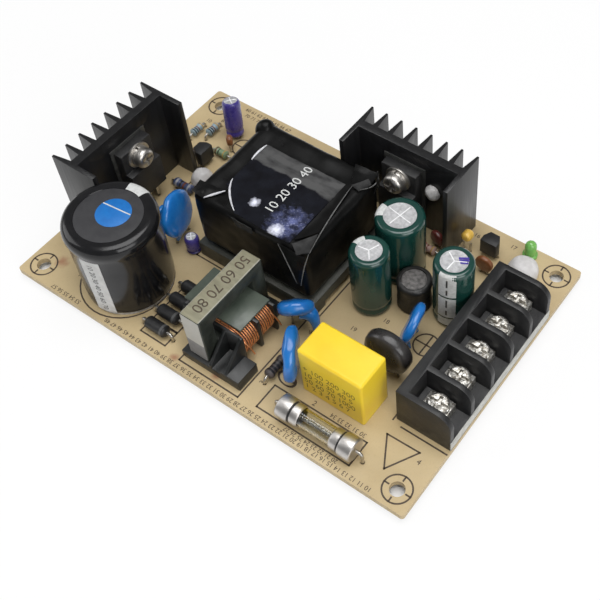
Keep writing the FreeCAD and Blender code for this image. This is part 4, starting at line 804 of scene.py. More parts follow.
def lathe(
    bm: Mesh,
    outline: Sequence[Point],
    place: Matrix = IDENTITY,
    steps: int = 48,
    closed: bool = False,
    along: bool = False,
) -> list[bmesh.types.BMVert]:
    """Turns an outline about Z.

    Args:
        bm: the mesh.
        outline: points (radius, height), from the bottom up.
        place: where the turned piece goes.
        steps: how many sides it has.
        closed: whether the last point joins the first.
        along: whether the attribute 'along' runs from 0 to 1 over its height.

    Returns:
        The new vertices.
    """
    part = bmesh.new()
    verts = [part.verts.new((radius, 0.0, height)) for radius, height in outline]
    pairs = list(zip(verts, verts[1:]))
    if closed:
        pairs.append((verts[-1], verts[0]))
    edges = [part.edges.new(pair) for pair in pairs]
    bmesh.ops.spin(
        part, geom=verts + edges, cent=(0, 0, 0), axis=(0, 0, 1), angle=math.tau, steps=steps,
        use_merge=True,
    )
    weld(part)
    face_out(part)
    if along:
        layer = part.verts.layers.float.new("along")
        heights = [height for _, height in outline]
        for vert in part.verts:
            vert[layer] = (vert.co.z - min(heights)) / (max(heights) - min(heights))
    bmesh.ops.transform(part, matrix=place, verts=part.verts)
    return join(bm, part)


def join(bm: Mesh, part: Mesh) -> list[bmesh.types.BMVert]:
    """Puts a finished part into a mesh and frees it.

    Args:
        bm: the mesh that grows.
        part: the part that goes into it.

    Returns:
        The new vertices.
    """
    mesh = bpy.data.meshes.new("part")
    part.to_mesh(mesh)
    part.free()
    before = len(bm.verts)
    bm.from_mesh(mesh)
    bpy.data.meshes.remove(mesh)
    bm.verts.ensure_lookup_table()
    return bm.verts[before:]


def arc_strip(
    bm: Mesh, centre: Point, outline: Sequence[Point], turn: float, sweep: float
) -> None:
    """Part of a ring: a closed outline turned about an upright line.

    Args:
        bm: the mesh.
        centre: where the line stands.
        outline: its points (radius, height).
        turn: where the strip starts, in degrees from X.
        sweep: how far it goes round, in degrees.
    """
    part = bmesh.new()
    verts = [part.verts.new((r, 0.0, z)) for r, z in outline]
    face = part.faces.new(verts)
    bmesh.ops.spin(
        part, geom=[face, *face.edges, *verts], cent=(0, 0, 0), axis=(0, 0, 1),
        angle=math.radians(sweep), steps=ARC_STEPS, use_merge=False,
    )
    bmesh.ops.holes_fill(part, edges=[e for e in part.edges if e.is_boundary], sides=0)
    face_out(part)
    bmesh.ops.transform(part, matrix=stand(*centre, degrees=turn), verts=part.verts)
    join(bm, part)


def band(radii: Point, heights: Point) -> list[Point]:
    """The closed outline of a flat ring between two radii and two levels."""
    (inner, outer), (low, high) = radii, heights
    return [(inner, low), (outer, low), (outer, high), (inner, high)]


def dome(radius: float, low: float, high: float, steps: int, fullness: float = 1.0) -> list[Point]:
    """The outline of a dome from its side to its tip.

    Args:
        radius: its radius at the low end.
        low: the height where it starts.
        high: the height of its tip.
        steps: how many steps the outline has.
        fullness: 1 is round, and less is fuller.

    Returns:
        Points (radius, height) above the low end.
    """
    outline = []
    for k in range(1, steps + 1):
        angle = math.pi / 2 * k / steps
        reach = radius * math.cos(angle) ** fullness if k < steps else 0.0
        outline.append((reach, low + (high - low) * math.sin(angle)))
    return outline


def ink_skin(line: Sequence[Point]) -> list[Point]:
    """The closed outline of ink that lies along a line of (radius, height) points."""
    above = [(r, z + INK_THICK) for r, z in line]
    return above + [(r - INK_THICK, z - INK_THICK) for r, z in reversed(line)]


def aim(direction: Triple) -> Matrix:
    """The rotation that turns Z to a direction."""
    return Vector(direction).to_track_quat("Z", "Y").to_matrix().to_4x4()


def crumple(
    verts: Sequence[bmesh.types.BMVert], size_mm: float, depth_mm: float, seed: float
) -> None:
    """Moves vertices a little along a smooth random field.

    Args:
        verts: the vertices.
        size_mm: the size of the waves.
        depth_mm: how far a vertex moves at most.
        seed: picks another field.
    """
    shift = Vector((seed, seed * 1.7, seed * 0.6))
    for vert in verts:
        vert.co += noise.noise_vector(vert.co / size_mm + shift) * depth_mm


def make_piece(
    bm: Mesh,
    name: str,
    finish: Finish,
    replaces: Sequence[str] = (),
    smooth_degrees: float = 38.0,
) -> bpy.types.Object:
    """Makes the mesh a piece of the object.

    Args:
        bm: the mesh in millimetres; it is freed.
        name: the piece's name.
        finish: its finish.
        replaces: the CAD nodes that it stands for.
        smooth_degrees: faces that meet at less than this are shaded as one surface.

    Returns:
        The new object, riding on the frame.
    """
    limit = math.radians(smooth_degrees)
    for face in bm.faces:
        face.smooth = True
    for edge in bm.edges:
        edge.smooth = edge.calc_face_angle(0.0) < limit
    bmesh.ops.scale(bm, vec=(MM,) * 3, verts=bm.verts)
    mesh = bpy.data.meshes.new(name)
    bm.to_mesh(mesh)
    bm.free()
    mesh.materials.append(finish.build())
    piece = bpy.data.objects.new(name, mesh)
    bpy.context.scene.collection.objects.link(piece)
    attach(piece, "root")
    if replaces:
        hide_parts(*replaces)
    LOG.info("piece %s: %d faces", name, len(mesh.polygons))
    return piece


def soft_copy(
    node: str, name: str, finish: Finish, slot: Slot, width: float, segments: int = 2
) -> bpy.types.Object:
    """A copy of a CAD node with rounded edges, which stands for it.

    Args:
        node: the CAD node.
        name: the piece's name.
        finish: its finish.
        slot: its material slot; not used.
        width: how far the rounding reaches, in millimetres.
        segments: how many steps it has.

    Returns:
        The new object.
    """
    bm = cad_mesh(node)
    bmesh.ops.dissolve_limit(bm, angle_limit=math.radians(0.6), verts=bm.verts, edges=bm.edges)
    soften(bm, bm.verts, width, segments, 35.0)
    return make_piece(bm, name, finish, [node])


def sweep(
    bm: Mesh,
    path: Sequence[Vector],
    radii: Sequence[float],
    closed: bool = False,
    sides: int = 8,
) -> None:
    """A round wire along a path.

    Args:
        bm: the mesh.
        path: the middle line's points.
        radii: the wire's radius at each point, or one radius for all of them.
        closed: whether the last point joins the first.
        sides: how many sides the wire has.
    """
    part = bmesh.new()
    count = len(path)
    sizes = list(radii) * count if len(radii) == 1 else list(radii)

    def way(i: int) -> Vector:
        """The path's direction at a point."""
        after = path[(i + 1) % count] if closed or i + 1 < count else path[i]
        before = path[i - 1] if closed or i else path[i]
        return (after - before).normalized()

    start = Matrix.Translation(path[0]) @ aim(way(0))
    first = bmesh.ops.create_circle(
        part, cap_ends=not closed, segments=sides, radius=sizes[0], matrix=start
    )
    loop = list({e for v in first["verts"] for e in v.link_edges})
    start_loop = loop
    for i in range(1, count):
        grown = bmesh.ops.extrude_edge_only(part, edges=loop)
        verts = [g for g in grown["geom"] if isinstance(g, bmesh.types.BMVert)]
        loop = [g for g in grown["geom"] if isinstance(g, bmesh.types.BMEdge)]
        loop = [e for e in loop if all(v in verts for v in e.verts)]
        bend = way(i - 1).rotation_difference(way(i)).to_matrix().to_4x4()
        growth = Matrix.Scale(sizes[i] / sizes[i - 1], 4)
        move = Matrix.Translation(path[i]) @ bend @ growth @ Matrix.Translation(-path[i - 1])
        bmesh.ops.transform(part, matrix=move, verts=verts)
    if closed:
        bmesh.ops.bridge_loops(part, edges=[*loop, *start_loop])
    else:
        bmesh.ops.holes_fill(part, edges=loop, sides=0)
    face_out(part)
    join(bm, part)


def written(text: str, size: float, thick: float, place: Matrix) -> Mesh:
    """Printed figures as thin solid shapes.

    Args:
        text: the figures.
        size: the height of their line.
        thick: how thick the ink is.
        place: where the line starts, with its foot on X and its face toward Z.

    Returns:
        The shapes.
    """
    curve = bpy.data.curves.new("figures", "FONT")
    curve.body = text
    curve.size = size
    curve.extrude = thick / 2
    writer = bpy.data.objects.new("figures", curve)
    mesh = bpy.data.meshes.new_from_object(writer)
    bm = bmesh.new()
    bm.from_mesh(mesh)
    weld(bm)
    bmesh.ops.transform(bm, matrix=place @ Matrix.Translation((0, 0, thick / 2)), verts=bm.verts)
    bpy.data.objects.remove(writer)
    bpy.data.curves.remove(curve)
    bpy.data.meshes.remove(mesh)
    return bm


def pill(radius: float, half_thick: float) -> list[Point]:
    """The outline of a dipped disc: full in the middle and round at its rim.

    Args:
        radius: the disc's radius.
        half_thick: half of its thickness.

    Returns:
        Points (radius, height) from the bottom up.
    """
    outline = []
    for k in range(PILL_STEPS + 1):
        angle = math.pi * (k / PILL_STEPS - 0.5)
        reach = abs(math.cos(angle)) ** PILL_FULLNESS * radius if 0 < k < PILL_STEPS else 0.0
        height = abs(math.sin(angle)) ** PILL_FULLNESS * half_thick
        outline.append((reach, math.copysign(height, math.sin(angle))))
    return outline


def bow(start: Vector, middle: Vector, end: Vector, steps: int = 8) -> list[Vector]:
    """A smooth curve that starts at one point, bends towards another and ends at a third."""
    curve = []
    for k in range(steps + 1):
        t = k / steps
        curve.append(start * (1 - t) ** 2 + middle * (2 * t * (1 - t)) + end * t * t)
    return curve


BOARD_TOP = node_box("circuit_board").high.z


# Sub-assemblies


@dataclass
class Board:
    """The board's dark print on its top; its laminate, solder joints and bare leads are the CAD
    nodes.
    """

    ink_thick: float = INK_THICK
    line_width: float = 0.4
    hole_ring: float = 3.4
    hole_tick: Point = (2.3, 3.4)
    holes: tuple[Point, ...] = ((-54.4, -34.2), (54.4, -34.2), (-54.4, 34.2), (54.4, 34.2))
    big_ring: Triple = (-33.3, -25.8, 11.7)
    crossed_rings: tuple[Triple, ...] = ((39.1, -0.4, 3.1), (-38.5, 25.0, 2.9))
    cross_gap: float = 0.1
    oval: tuple[Point, float, float, float] = ((17.8, -26.0), 2.5, 1.5, -12.0)
    frames: tuple[tuple[Point, Point], ...] = (
        ((16.5, -35.6), (42.6, -28.9)),
        ((-6.6, -36.2), (11.4, -10.6)),
        ((-24.1, -10.2), (13.3, 21.9)),
        ((-19.9, -35.2), (-12.0, -31.0)),
        ((-19.9, -30.8), (-12.0, -26.6)),
        ((-19.9, -26.4), (-12.0, -22.2)),
        ((-19.9, -22.0), (-12.0, -17.9)),
        ((-57.4, -20.8), (-42.0, 12.6)),
    )
    lines: tuple[tuple[Point, Point], ...] = (
        ((46.6, -21.5), (58.7, -21.5)),
        ((44.0, -20.9), (44.0, 22.9)),
        ((45.0, -24.6), (53.6, -24.4)),
        ((53.6, -24.4), (49.3, -31.9)),
        ((49.3, -31.9), (45.0, -24.6)),
    )
    numbers: tuple[tuple[str, float, float, float, float], ...] = (
        ("1", -44.8, -32.0, 0.0, 1.9),
        ("2", 26.5, -28.2, 0.0, 1.9),
        ("3", 14.2, -30.5, 90.0, 1.9),
        ("4", 54.2, -27.0, 0.0, 1.9),
        (" ".join(map(str, range(10, 49))), 50.0, -37.2, 180.0, 1.6),
        ("53 54 55 56 57", -38.0, -37.2, 180.0, 1.6),
        (" ".join(map(str, range(20, 28))), 40.0, -35.95, 180.0, 1.5),
        ("30 31 32 33 34", 41.5, -27.3, 180.0, 1.6),
        ("5", 43.0, 4.6, 0.0, 1.8),
        ("6", 15.2, 8.5, 0.0, 1.8),
        ("7", -34.4, 20.2, 0.0, 1.7),
        ("8", -50.4, 29.4, 0.0, 1.7),
        ("9", 41.2, 29.0, 0.0, 1.7),
        ("10", -54.2, 27.3, 0.0, 1.7),
        ("60 61 62 63 64 65 66 67", -47.4, 36.6, 0.0, 1.6),
        ("70 71 72 73", -46.2, 34.7, 0.0, 1.6),
        ("13", -41.3, 1.0, 0.0, 1.7),
        ("14", -36.6, -1.2, 0.0, 1.7),
        ("15", -30.4, -15.3, 0.0, 1.7),
        ("16", 30.6, 33.8, 0.0, 1.7),
        ("17", 40.2, 35.6, 0.0, 1.7),
        ("18", 26.6, -0.6, 0.0, 1.7),
        ("19", 21.4, -6.8, 0.0, 1.7),
    )

    def line(self, bm: Mesh, start: Point, end: Point) -> None:
        """A straight printed line."""
        level = BOARD_TOP + self.ink_thick / 2
        width = self.line_width
        add_bar(bm, (*start, level), (*end, level), width, self.ink_thick, width)

    def ring(self, bm: Mesh, x: float, y: float, radius: float) -> None:
        """A printed circle."""
        radii = (radius - self.line_width / 2, radius + self.line_width / 2)
        outline = band(radii, (0.0, self.ink_thick))
        lathe(bm, outline, stand(x, y, BOARD_TOP), 40, closed=True)

    def oval_ring(self, bm: Mesh) -> None:
        """The printed oval at the foot of the disc in front."""
        (x, y), long, short, turn = self.oval
        share = self.line_width / 2 / short
        outline = band((1 - share, 1 + share), (0.0, self.ink_thick))
        place = stand(x, y, BOARD_TOP, turn) @ Matrix.Diagonal((long, short, 1, 1))
        lathe(bm, outline, place, 40, closed=True)

    def ticks(self, bm: Mesh, x: float, y: float, reach: Point) -> None:
        """Four short lines round a point."""
        near, far = reach
        for sx, sy in ((1, 0), (0, 1), (-1, 0), (0, -1)):
            self.line(bm, (x + sx * near, y + sy * near), (x + sx * far, y + sy * far))

    def build(self) -> None:
        """Makes the print."""
        bm = bmesh.new()
        for x, y in self.holes:
            self.ring(bm, x, y, self.hole_ring)
            self.ticks(bm, x, y, self.hole_tick)
        self.ring(bm, *self.big_ring)
        for x, y, radius in self.crossed_rings:
            self.ring(bm, x, y, radius)
            self.ticks(bm, x, y, (self.cross_gap, radius))
        self.oval_ring(bm)
        for (x0, y0), (x1, y1) in self.frames:
            corners = [(x0, y0), (x1, y0), (x1, y1), (x0, y1)]
            for k, corner in enumerate(corners):
                self.line(bm, corner, corners[(k + 1) % 4])
        for start, end in self.lines:
            self.line(bm, start, end)
        for text, x, y, turn, size in self.numbers:
            join(bm, written(text, size, self.ink_thick, stand(x, y, BOARD_TOP, turn)))
        make_piece(bm, "board_print", INK)


@dataclass
class Heatsinks:
    """The two finned heatsinks with their power devices."""

    edge_mm: float = 0.14
    device_edge_mm: float = 0.22
    screw_edge_mm: float = 0.16
    washer_edge_mm: float = 0.08

    def build(self) -> None:
        """Rounds the edges of the sinks, devices, screws and washers."""
        for node in ("primary_heatsink", "secondary_heatsink"):
            soft_copy(node, node + "_body", ANODISED, Slot.HEATSINK, self.edge_mm)
        for node in ("primary_switch", "output_rectifier"):
            soft_copy(node, node + "_body", EPOXY, Slot.MOULDING, self.device_edge_mm, 3)
        soft_copy("device_screws", "sink_screws", NICKEL, Slot.SCREW, self.screw_edge_mm, 3)
        soft_copy("device_washers", "sink_washers", NICKEL, Slot.SCREW, self.washer_edge_mm)


@dataclass
class BulkCapacitor:
    """The large black capacitor with its rolled rim, disc, sticker and strip of paper."""

    centre: Point = (-32.5, -25.2)
    radius: float = 11.1
    rim_bulge: float = 0.45
    top: float = 27.9
    disc_radius: float = 8.2
    disc_top: float = 27.78
    sticker_centre: Point = (-31.9, -24.1)
    sticker_radius: float = 4.3
    sticker_thick: float = 0.08
    sticker_line_width: float = 0.3
    sticker_line: tuple[Point, Point] = ((-36.0, -23.2), (-28.1, -22.4))
    paper_heights: Point = (4.3, 23.4)
    paper_turn: float = 271.0
    paper_sweep: float = 26.0
    paper_thick: float = 0.1
    paper_text: str = "10 20 30 40 50 60 70"
    text_size: float = 2.0
    text_top: float = 22.3
    text_turn: float = 280.4
    ink_thick: float = 0.02
    mark_turn: float = 75.0
    mark_sweep: float = 30.0
    sleeve_waves: Triple = (6.0, 0.04, 3.0)
    disc_waves: Triple = (3.0, 0.02, 7.0)

    def sleeve(self) -> None:
        """The shrunk film over the can, tucked in at its foot and rolled over its rim."""
        r, top = self.radius, self.top
        foot = BOARD_TOP + 0.05
        outline = [(0.0, foot), (r - 1.6, foot), (r - 0.7, foot + 0.25), (r - 0.15, foot + 0.9)]
        outline += [(r - 0.1, foot + 1.7), (r - 0.02, foot + 2.4), (r, foot + 3.0)]
        outline += [(r, top - 9.0), (r, top - 5.0), (r + self.rim_bulge * 0.5, top - 3.7)]
        outline += self.shoulder()
        outline += [(self.disc_radius - 0.1, top - 0.35), (self.disc_radius - 0.15, top - 0.9)]
        outline.append((0.0, top - 0.9))
        bm = bmesh.new()
        verts = lathe(bm, outline, stand(*self.centre), 96)
        crumple(verts, *self.sleeve_waves)
        make_piece(
            bm, "bulk_sleeve", BLACK_FILM, ["bulk_capacitor_sleeve"], 50.0
        )

    def shoulder(self) -> list[Point]:
        """The round shoulder from the side to the disc, as points (radius, height)."""
        drops = ((0.0, 2.6), (0.08, 1.8), (0.35, 1.0), (0.8, 0.45), (1.4, 0.12), (2.1, 0.0))
        wide = self.radius + self.rim_bulge
        line = [(wide - inward, self.top - down) for inward, down in drops]
        return [*line, (self.disc_radius + 0.1, self.top - 0.06)]

    def disc(self) -> None:
        """The matt disc inside the rim, a little domed."""
        low, r, top = self.top - 0.88, self.disc_radius, self.disc_top
        outline = [(0.0, low), (r, low), (r, top - 0.08), (r - 0.25, top - 0.02)]
        outline += [(6.0, top), (3.0, top + 0.02), (0.0, top + 0.02)]
        bm = bmesh.new()
        verts = lathe(bm, outline, stand(*self.centre), 72)
        crumple(verts, *self.disc_waves)
        make_piece(bm, "bulk_disc", DISC_FACE, ["bulk_capacitor_disc"], 50.0)

    def sticker(self) -> None:
        """The round blue sticker with a white line across it."""
        level, r, high = self.disc_top + 0.03, self.sticker_radius, self.sticker_thick
        outline = [(0, 0), (r, 0), (r, high - 0.03), (r - 0.05, high - 0.01), (0, high)]
        bm = bmesh.new()
        lathe(bm, outline, stand(*self.sticker_centre, level), 56)
        make_piece(
            bm, "bulk_sticker", BLUE_PAPER, ["bulk_capacitor_sticker"], 60.0
        )
        bm = bmesh.new()
        first, last = ((*point, level + high) for point in self.sticker_line)
        add_bar(bm, first, last, self.sticker_line_width, INK_THICK)
        make_piece(bm, "bulk_sticker_line", WHITE_INK)

    def side(self) -> None:
        """The paper strip on the side and the white block on the shoulder."""
        r = self.radius
        bm = bmesh.new()
        outline = band((r - 0.03, r + self.paper_thick), self.paper_heights)
        arc_strip(bm, self.centre, outline, self.paper_turn, self.paper_sweep)
        make_piece(bm, "bulk_paper", PAPER, ["bulk_capacitor_label"])
        bm = written(self.paper_text, self.text_size, self.ink_thick, IDENTITY)
        x, y = self.centre
        for vert in bm.verts:
            turn = math.radians(self.text_turn) + vert.co.y / r
            reach = r + self.paper_thick + vert.co.z
            level = self.text_top - vert.co.x
            vert.co = (x + reach * math.cos(turn), y + reach * math.sin(turn), level)
        make_piece(bm, "bulk_figures", BLACK_INK)
        bm = bmesh.new()
        skin = ink_skin(self.shoulder()[2:])
        arc_strip(bm, self.centre, skin, self.mark_turn, self.mark_sweep)
        make_piece(bm, "bulk_mark", WHITE_INK)

    def build(self) -> None:
        """Makes the capacitor."""
        self.sleeve()
        self.disc()
        self.sticker()
        self.side()


@dataclass
class Transformer:
    """The transformer, wrapped in glossy tape with folded corners."""

    low: Triple = (-22.4, -8.4, 8.6)
    high: Triple = (11.6, 20.2, 26.2)
    corner: float = 1.6
    tape_thick: float = 0.2
    film_low: Point = (-16.9, -7.8)
    film_high: Point = (6.9, 13.6)
    film_notch: tuple[Point, Point] = ((-16.3, -2.0), (-9.5, -7.6))
    film_text: tuple[str, float, float, float] = ("10 20 30 40", -2.2, -3.2, 3.4)
    ink_thick: float = INK_THICK
    wrap_cuts: int = 24
    wrap_waves: tuple[Triple, ...] = ((7.0, 0.26, 1.0), (2.8, 0.1, 5.0))
    film_waves: tuple[Triple, ...] = ((6.5, 0.2, 11.0), (2.2, 0.06, 12.0))
    film_lift: float = 0.28
    film_thick: float = 0.12
    fold_waves: Point = (1.9, 0.16)
    nub_waves: Triple = (2.4, 0.16, 9.0)
    base_edge: float = 0.2
    yoke_edge: float = 0.3
    back_roll: Triple = (17.8, 2.4, 1.0)
    left_roll: Triple = (-20.2, 1.7, 0.8)
    roll_fade: Point = (5.0, 6.0)
    dark_folds: tuple[tuple[Triple, ...], ...] = (
        ((5.2, 19.9, 26.9), (11.6, 20.6, 26.7), (12.2, 15.6, 26.5), (8.2, 14.2, 26.8)),
        ((11.0, 20.9, 26.9), (12.6, 18.4, 27.2), (12.5, 16.9, 23.6), (11.4, 20.6, 22.8)),
        ((7.3, -6.6, 26.5), (7.1, 13.3, 26.6), (8.8, 13.6, 27.0), (10.9, -2.0, 26.9)),
        ((-22.7, -7.9, 26.1), (-18.4, -8.3, 26.5), (-15.2, -3.7, 26.8), (-22.5, -4.6, 26.9)),
        ((12.1, -8.7, 25.6), (4.4, -8.9, 25.8), (9.2, -9.5, 15.0), (10.3, -9.5, 15.0)),
    )
    # grey patches of matte tape and painted sheen; the last lies on the front edge, where it stands
    # for dull reflected light
    dull_and_sheen_folds: tuple[tuple[Triple, ...], ...] = (
        ((7.5, -7.6, 26.55), (11.0, -2.3, 26.95), (12.2, -7.2, 26.1), (9.9, -9.1, 25.6)),
        ((8.5, 13.8, 27.0), (10.8, 17.6, 27.1), (12.2, 16.6, 26.7), (10.9, 13.4, 26.7)),
        ((-9.6, -8.75, 25.9), (-3.4, -8.85, 26.0), (-3.2, -8.9, 24.3), (-8.0, -8.85, 23.8)),
    )
    # lines of painted highlight: pale ones along the fold creases, then white glints along the
    # film's edges
    creases: tuple[tuple[Triple, ...], ...] = (
        ((8.8, 13.6, 27.1), (10.3, 6.0, 27.1), (10.9, -2.0, 27.1), (12.3, -7.3, 26.1)),
        ((12.2, -7.4, 25.9), (12.1, -8.9, 24.2), (11.4, -9.4, 20.0), (10.4, -9.6, 15.1)),
        ((4.4, -8.9, 25.9), (6.6, -9.3, 22.0), (8.3, -9.6, 18.0), (9.2, -9.6, 15.0)),
        ((11.0, 20.9, 26.9), (12.7, 18.4, 27.2), (12.5, 16.9, 25.6), (11.0, 14.0, 26.9)),
    )
    glints: tuple[tuple[Triple, ...], ...] = (
        ((-18.4, -8.2, 26.6), (-16.9, -6.2, 26.8), (-15.3, -3.9, 26.9)),
        ((-16.6, 0.2, 26.6), (-15.6, -2.6, 26.75), (-12.7, -4.9, 26.75), (-9.8, -7.3, 26.6)),
        ((-16.7, 7.4, 26.7), (-16.9, 10.2, 26.8), (-16.7, 13.2, 26.7)),
    )
    dark_bulge: float = 0.35
    dull_and_sheen_bulge: float = 0.12
    crease_radius: float = 0.16
    glint_radius: float = 0.3
    nub_foot: Triple = (-21.1, 18.0, 25.2)
    nub_outline: tuple[Point, ...] = (
        (0.0, 0.0), (2.7, 0.0), (2.45, 1.0), (2.05, 2.0), (1.5, 2.7), (0.85, 3.1), (0.0, 3.25),
    )

    def rolled(self, spot: Vector) -> float:
        """How far the tape stands up at a place near its back and left edges.

        Args:
            spot: the place.

        Returns:
            The height of the roll there; a roll is (where, how wide, how high).
        """
        rolls = ((spot.y, self.back_roll), (spot.x, self.left_roll))
        behind, beside = (
            math.exp(-(((at - middle) / wide) ** 2)) * high for at, (middle, wide, high) in rolls
        )
        fade_from, fade_long = self.roll_fade
        share = max(0.0, min(1.0, (fade_from - spot.x) / fade_long))
        return max(behind * share, beside)

    def wrap(self) -> None:
        """The tape round the block, drawn tight and a little crumpled."""
        low, high = Vector(self.low), Vector(self.high)
        bm = bmesh.new()
        add_block(bm, self.low, self.high, self.corner, 4)
        for normal in Matrix.Identity(3):
            for k in range(1, self.wrap_cuts):
                cut = low + (high - low) * normal * (k / self.wrap_cuts)
                geom = [*bm.verts, *bm.edges, *bm.faces]
                bmesh.ops.bisect_plane(bm, geom=geom, dist=0.001, plane_co=cut, plane_no=normal)
        bmesh.ops.triangulate(bm, faces=[f for f in bm.faces if len(f.verts) > 4])
        for vert in bm.verts:
            if vert.co.z > high.z - 0.5:
                vert.co.z += self.rolled(vert.co)
        for waves in self.wrap_waves:
            crumple(bm.verts, *waves)
        face_out(bm)
        replaced = ["transformer_tape", "transformer_winding"]
        make_piece(bm, "transformer_wrap", TAPE, replaced, 60.0)

    def fold(self, bm: Mesh, corners: Sequence[Triple], bulge: float, seed: float) -> None:
        """A patch of tape between four corners, swollen in its middle and creased.

        Args:
            bm: the mesh.
            corners: the four corners, one after another.
            bulge: how far its middle swells.
            seed: picks its creases.
        """
        part = bmesh.new()
        bmesh.ops.create_grid(part, x_segments=12, y_segments=12, size=1.0)
        a, b, c, d = (Vector(corner) for corner in corners)
        normal = (b - a).cross(d - a).normalized()
        for vert in part.verts:
            u, v = (vert.co.x + 1) / 2, (vert.co.y + 1) / 2
            flat = a.lerp(b, u).lerp(d.lerp(c, u), v)
            vert.co = flat + normal * (bulge * 16 * u * (1 - u) * v * (1 - v))
        crumple(part.verts, *self.fold_waves, seed)
        face_out(part)
        bmesh.ops.solidify(part, geom=part.faces, thickness=self.tape_thick)
        face_out(part)
        join(bm, part)

    def folds(self) -> None:
        """The pinched corners where the tape is folded over."""
        bm = bmesh.new()
        for k, corners in enumerate(self.dark_folds):
            self.fold(bm, corners, self.dark_bulge, 2.0 + k)
        nub = lathe(bm, self.nub_outline, stand(*self.nub_foot), 28)
        crumple(nub, *self.nub_waves)
        make_piece(bm, "transformer_folds", TAPE, smooth_degrees=60.0)
        # the grey patches: matte tape, partly painted sheen
        bm = bmesh.new()
        for k, corners in enumerate(self.dull_and_sheen_folds):
            self.fold(bm, corners, self.dull_and_sheen_bulge, 12.0 + k)
        make_piece(bm, "transformer_dull_and_sheen_folds", DULL_TAPE_AND_SHEEN, smooth_degrees=60.0)

    def edges(self) -> None:
        """The fold creases and the film's edges, painted pale and bright as highlights."""
        for name, lines, finish, widest in (
            ("transformer_crease_highlights", self.creases, CREASE_HIGHLIGHT, self.crease_radius),
            ("transformer_glints", self.glints, PAINTED_GLINT, self.glint_radius),
        ):
            bm = bmesh.new()
            for line in lines:
                points = [Vector(point) for point in line]
                first, last = points[0], points[-1]
                inner = sum(points[1:-1], Vector()) / (len(points) - 2)
                path = bow(first, inner * 2 - (first + last) / 2, last, 12)
                radii = [widest * (0.35 + 0.65 * math.sin(math.pi * k / 12)) for k in range(13)]
                sweep(bm, path, radii, sides=6)
            make_piece(bm, name, finish, smooth_degrees=70.0)

    def film(self) -> None:
        """The glossy film on the top, wavy and a little loose at its edges."""
        (x0, y0), (x1, y1) = self.film_low, self.film_high
        (notch_x, notch_y), (end_x, end_y) = self.film_notch
        middle = stand((x0 + x1) / 2, (y0 + y1) / 2, self.high[2] + self.film_lift)
        place = middle @ Matrix.Diagonal(((x1 - x0) / 2, (y1 - y0) / 2, 1, 1))
        bm = bmesh.new()
        bmesh.ops.create_grid(bm, x_segments=44, y_segments=40, size=1.0, matrix=place)
        for vert in bm.verts:
            share = min(1.0, max(0.0, (vert.co.x - notch_x) / (end_x - notch_x)))
            lowest = max(y0, notch_y + (end_y - notch_y) * share) if share < 1 else y0
            vert.co.y = lowest + (vert.co.y - y0) / (y1 - y0) * (y1 - lowest)
        for waves in self.film_waves:
            crumple(bm.verts, *waves)
        bmesh.ops.solidify(bm, geom=bm.faces, thickness=self.film_thick)
        face_out(bm)
        self.figures(BVHTree.FromBMesh(bm))
        make_piece(bm, "transformer_film", CLEAR_FILM, ["transformer_label"], 60.0)

    def figures(self, film: BVHTree) -> None:
        """White figures that follow the waves of the film.

        Args:
            film: the film's surface.
        """
        text, x, y, size = self.film_text
        bm = written(text, size, self.ink_thick, stand(x, y, degrees=90.0))
        for vert in bm.verts:
            above = Vector((vert.co.x, vert.co.y, self.high[2] + 5.0))
            hit = film.ray_cast(above, Vector((0.0, 0.0, -1.0)))[0]
            vert.co.z += hit.z + self.ink_thick
        make_piece(bm, "transformer_figures", WHITE_INK)

    def build(self) -> None:
        """Makes the transformer."""
        self.wrap()
        self.folds()
        self.edges()
        self.film()
        soft_copy("transformer_bobbin", "transformer_base", BOBBIN, Slot.BOBBIN, self.base_edge)
        soft_copy("transformer_core", "transformer_yoke", FERRITE, Slot.FERRITE, self.yoke_edge)


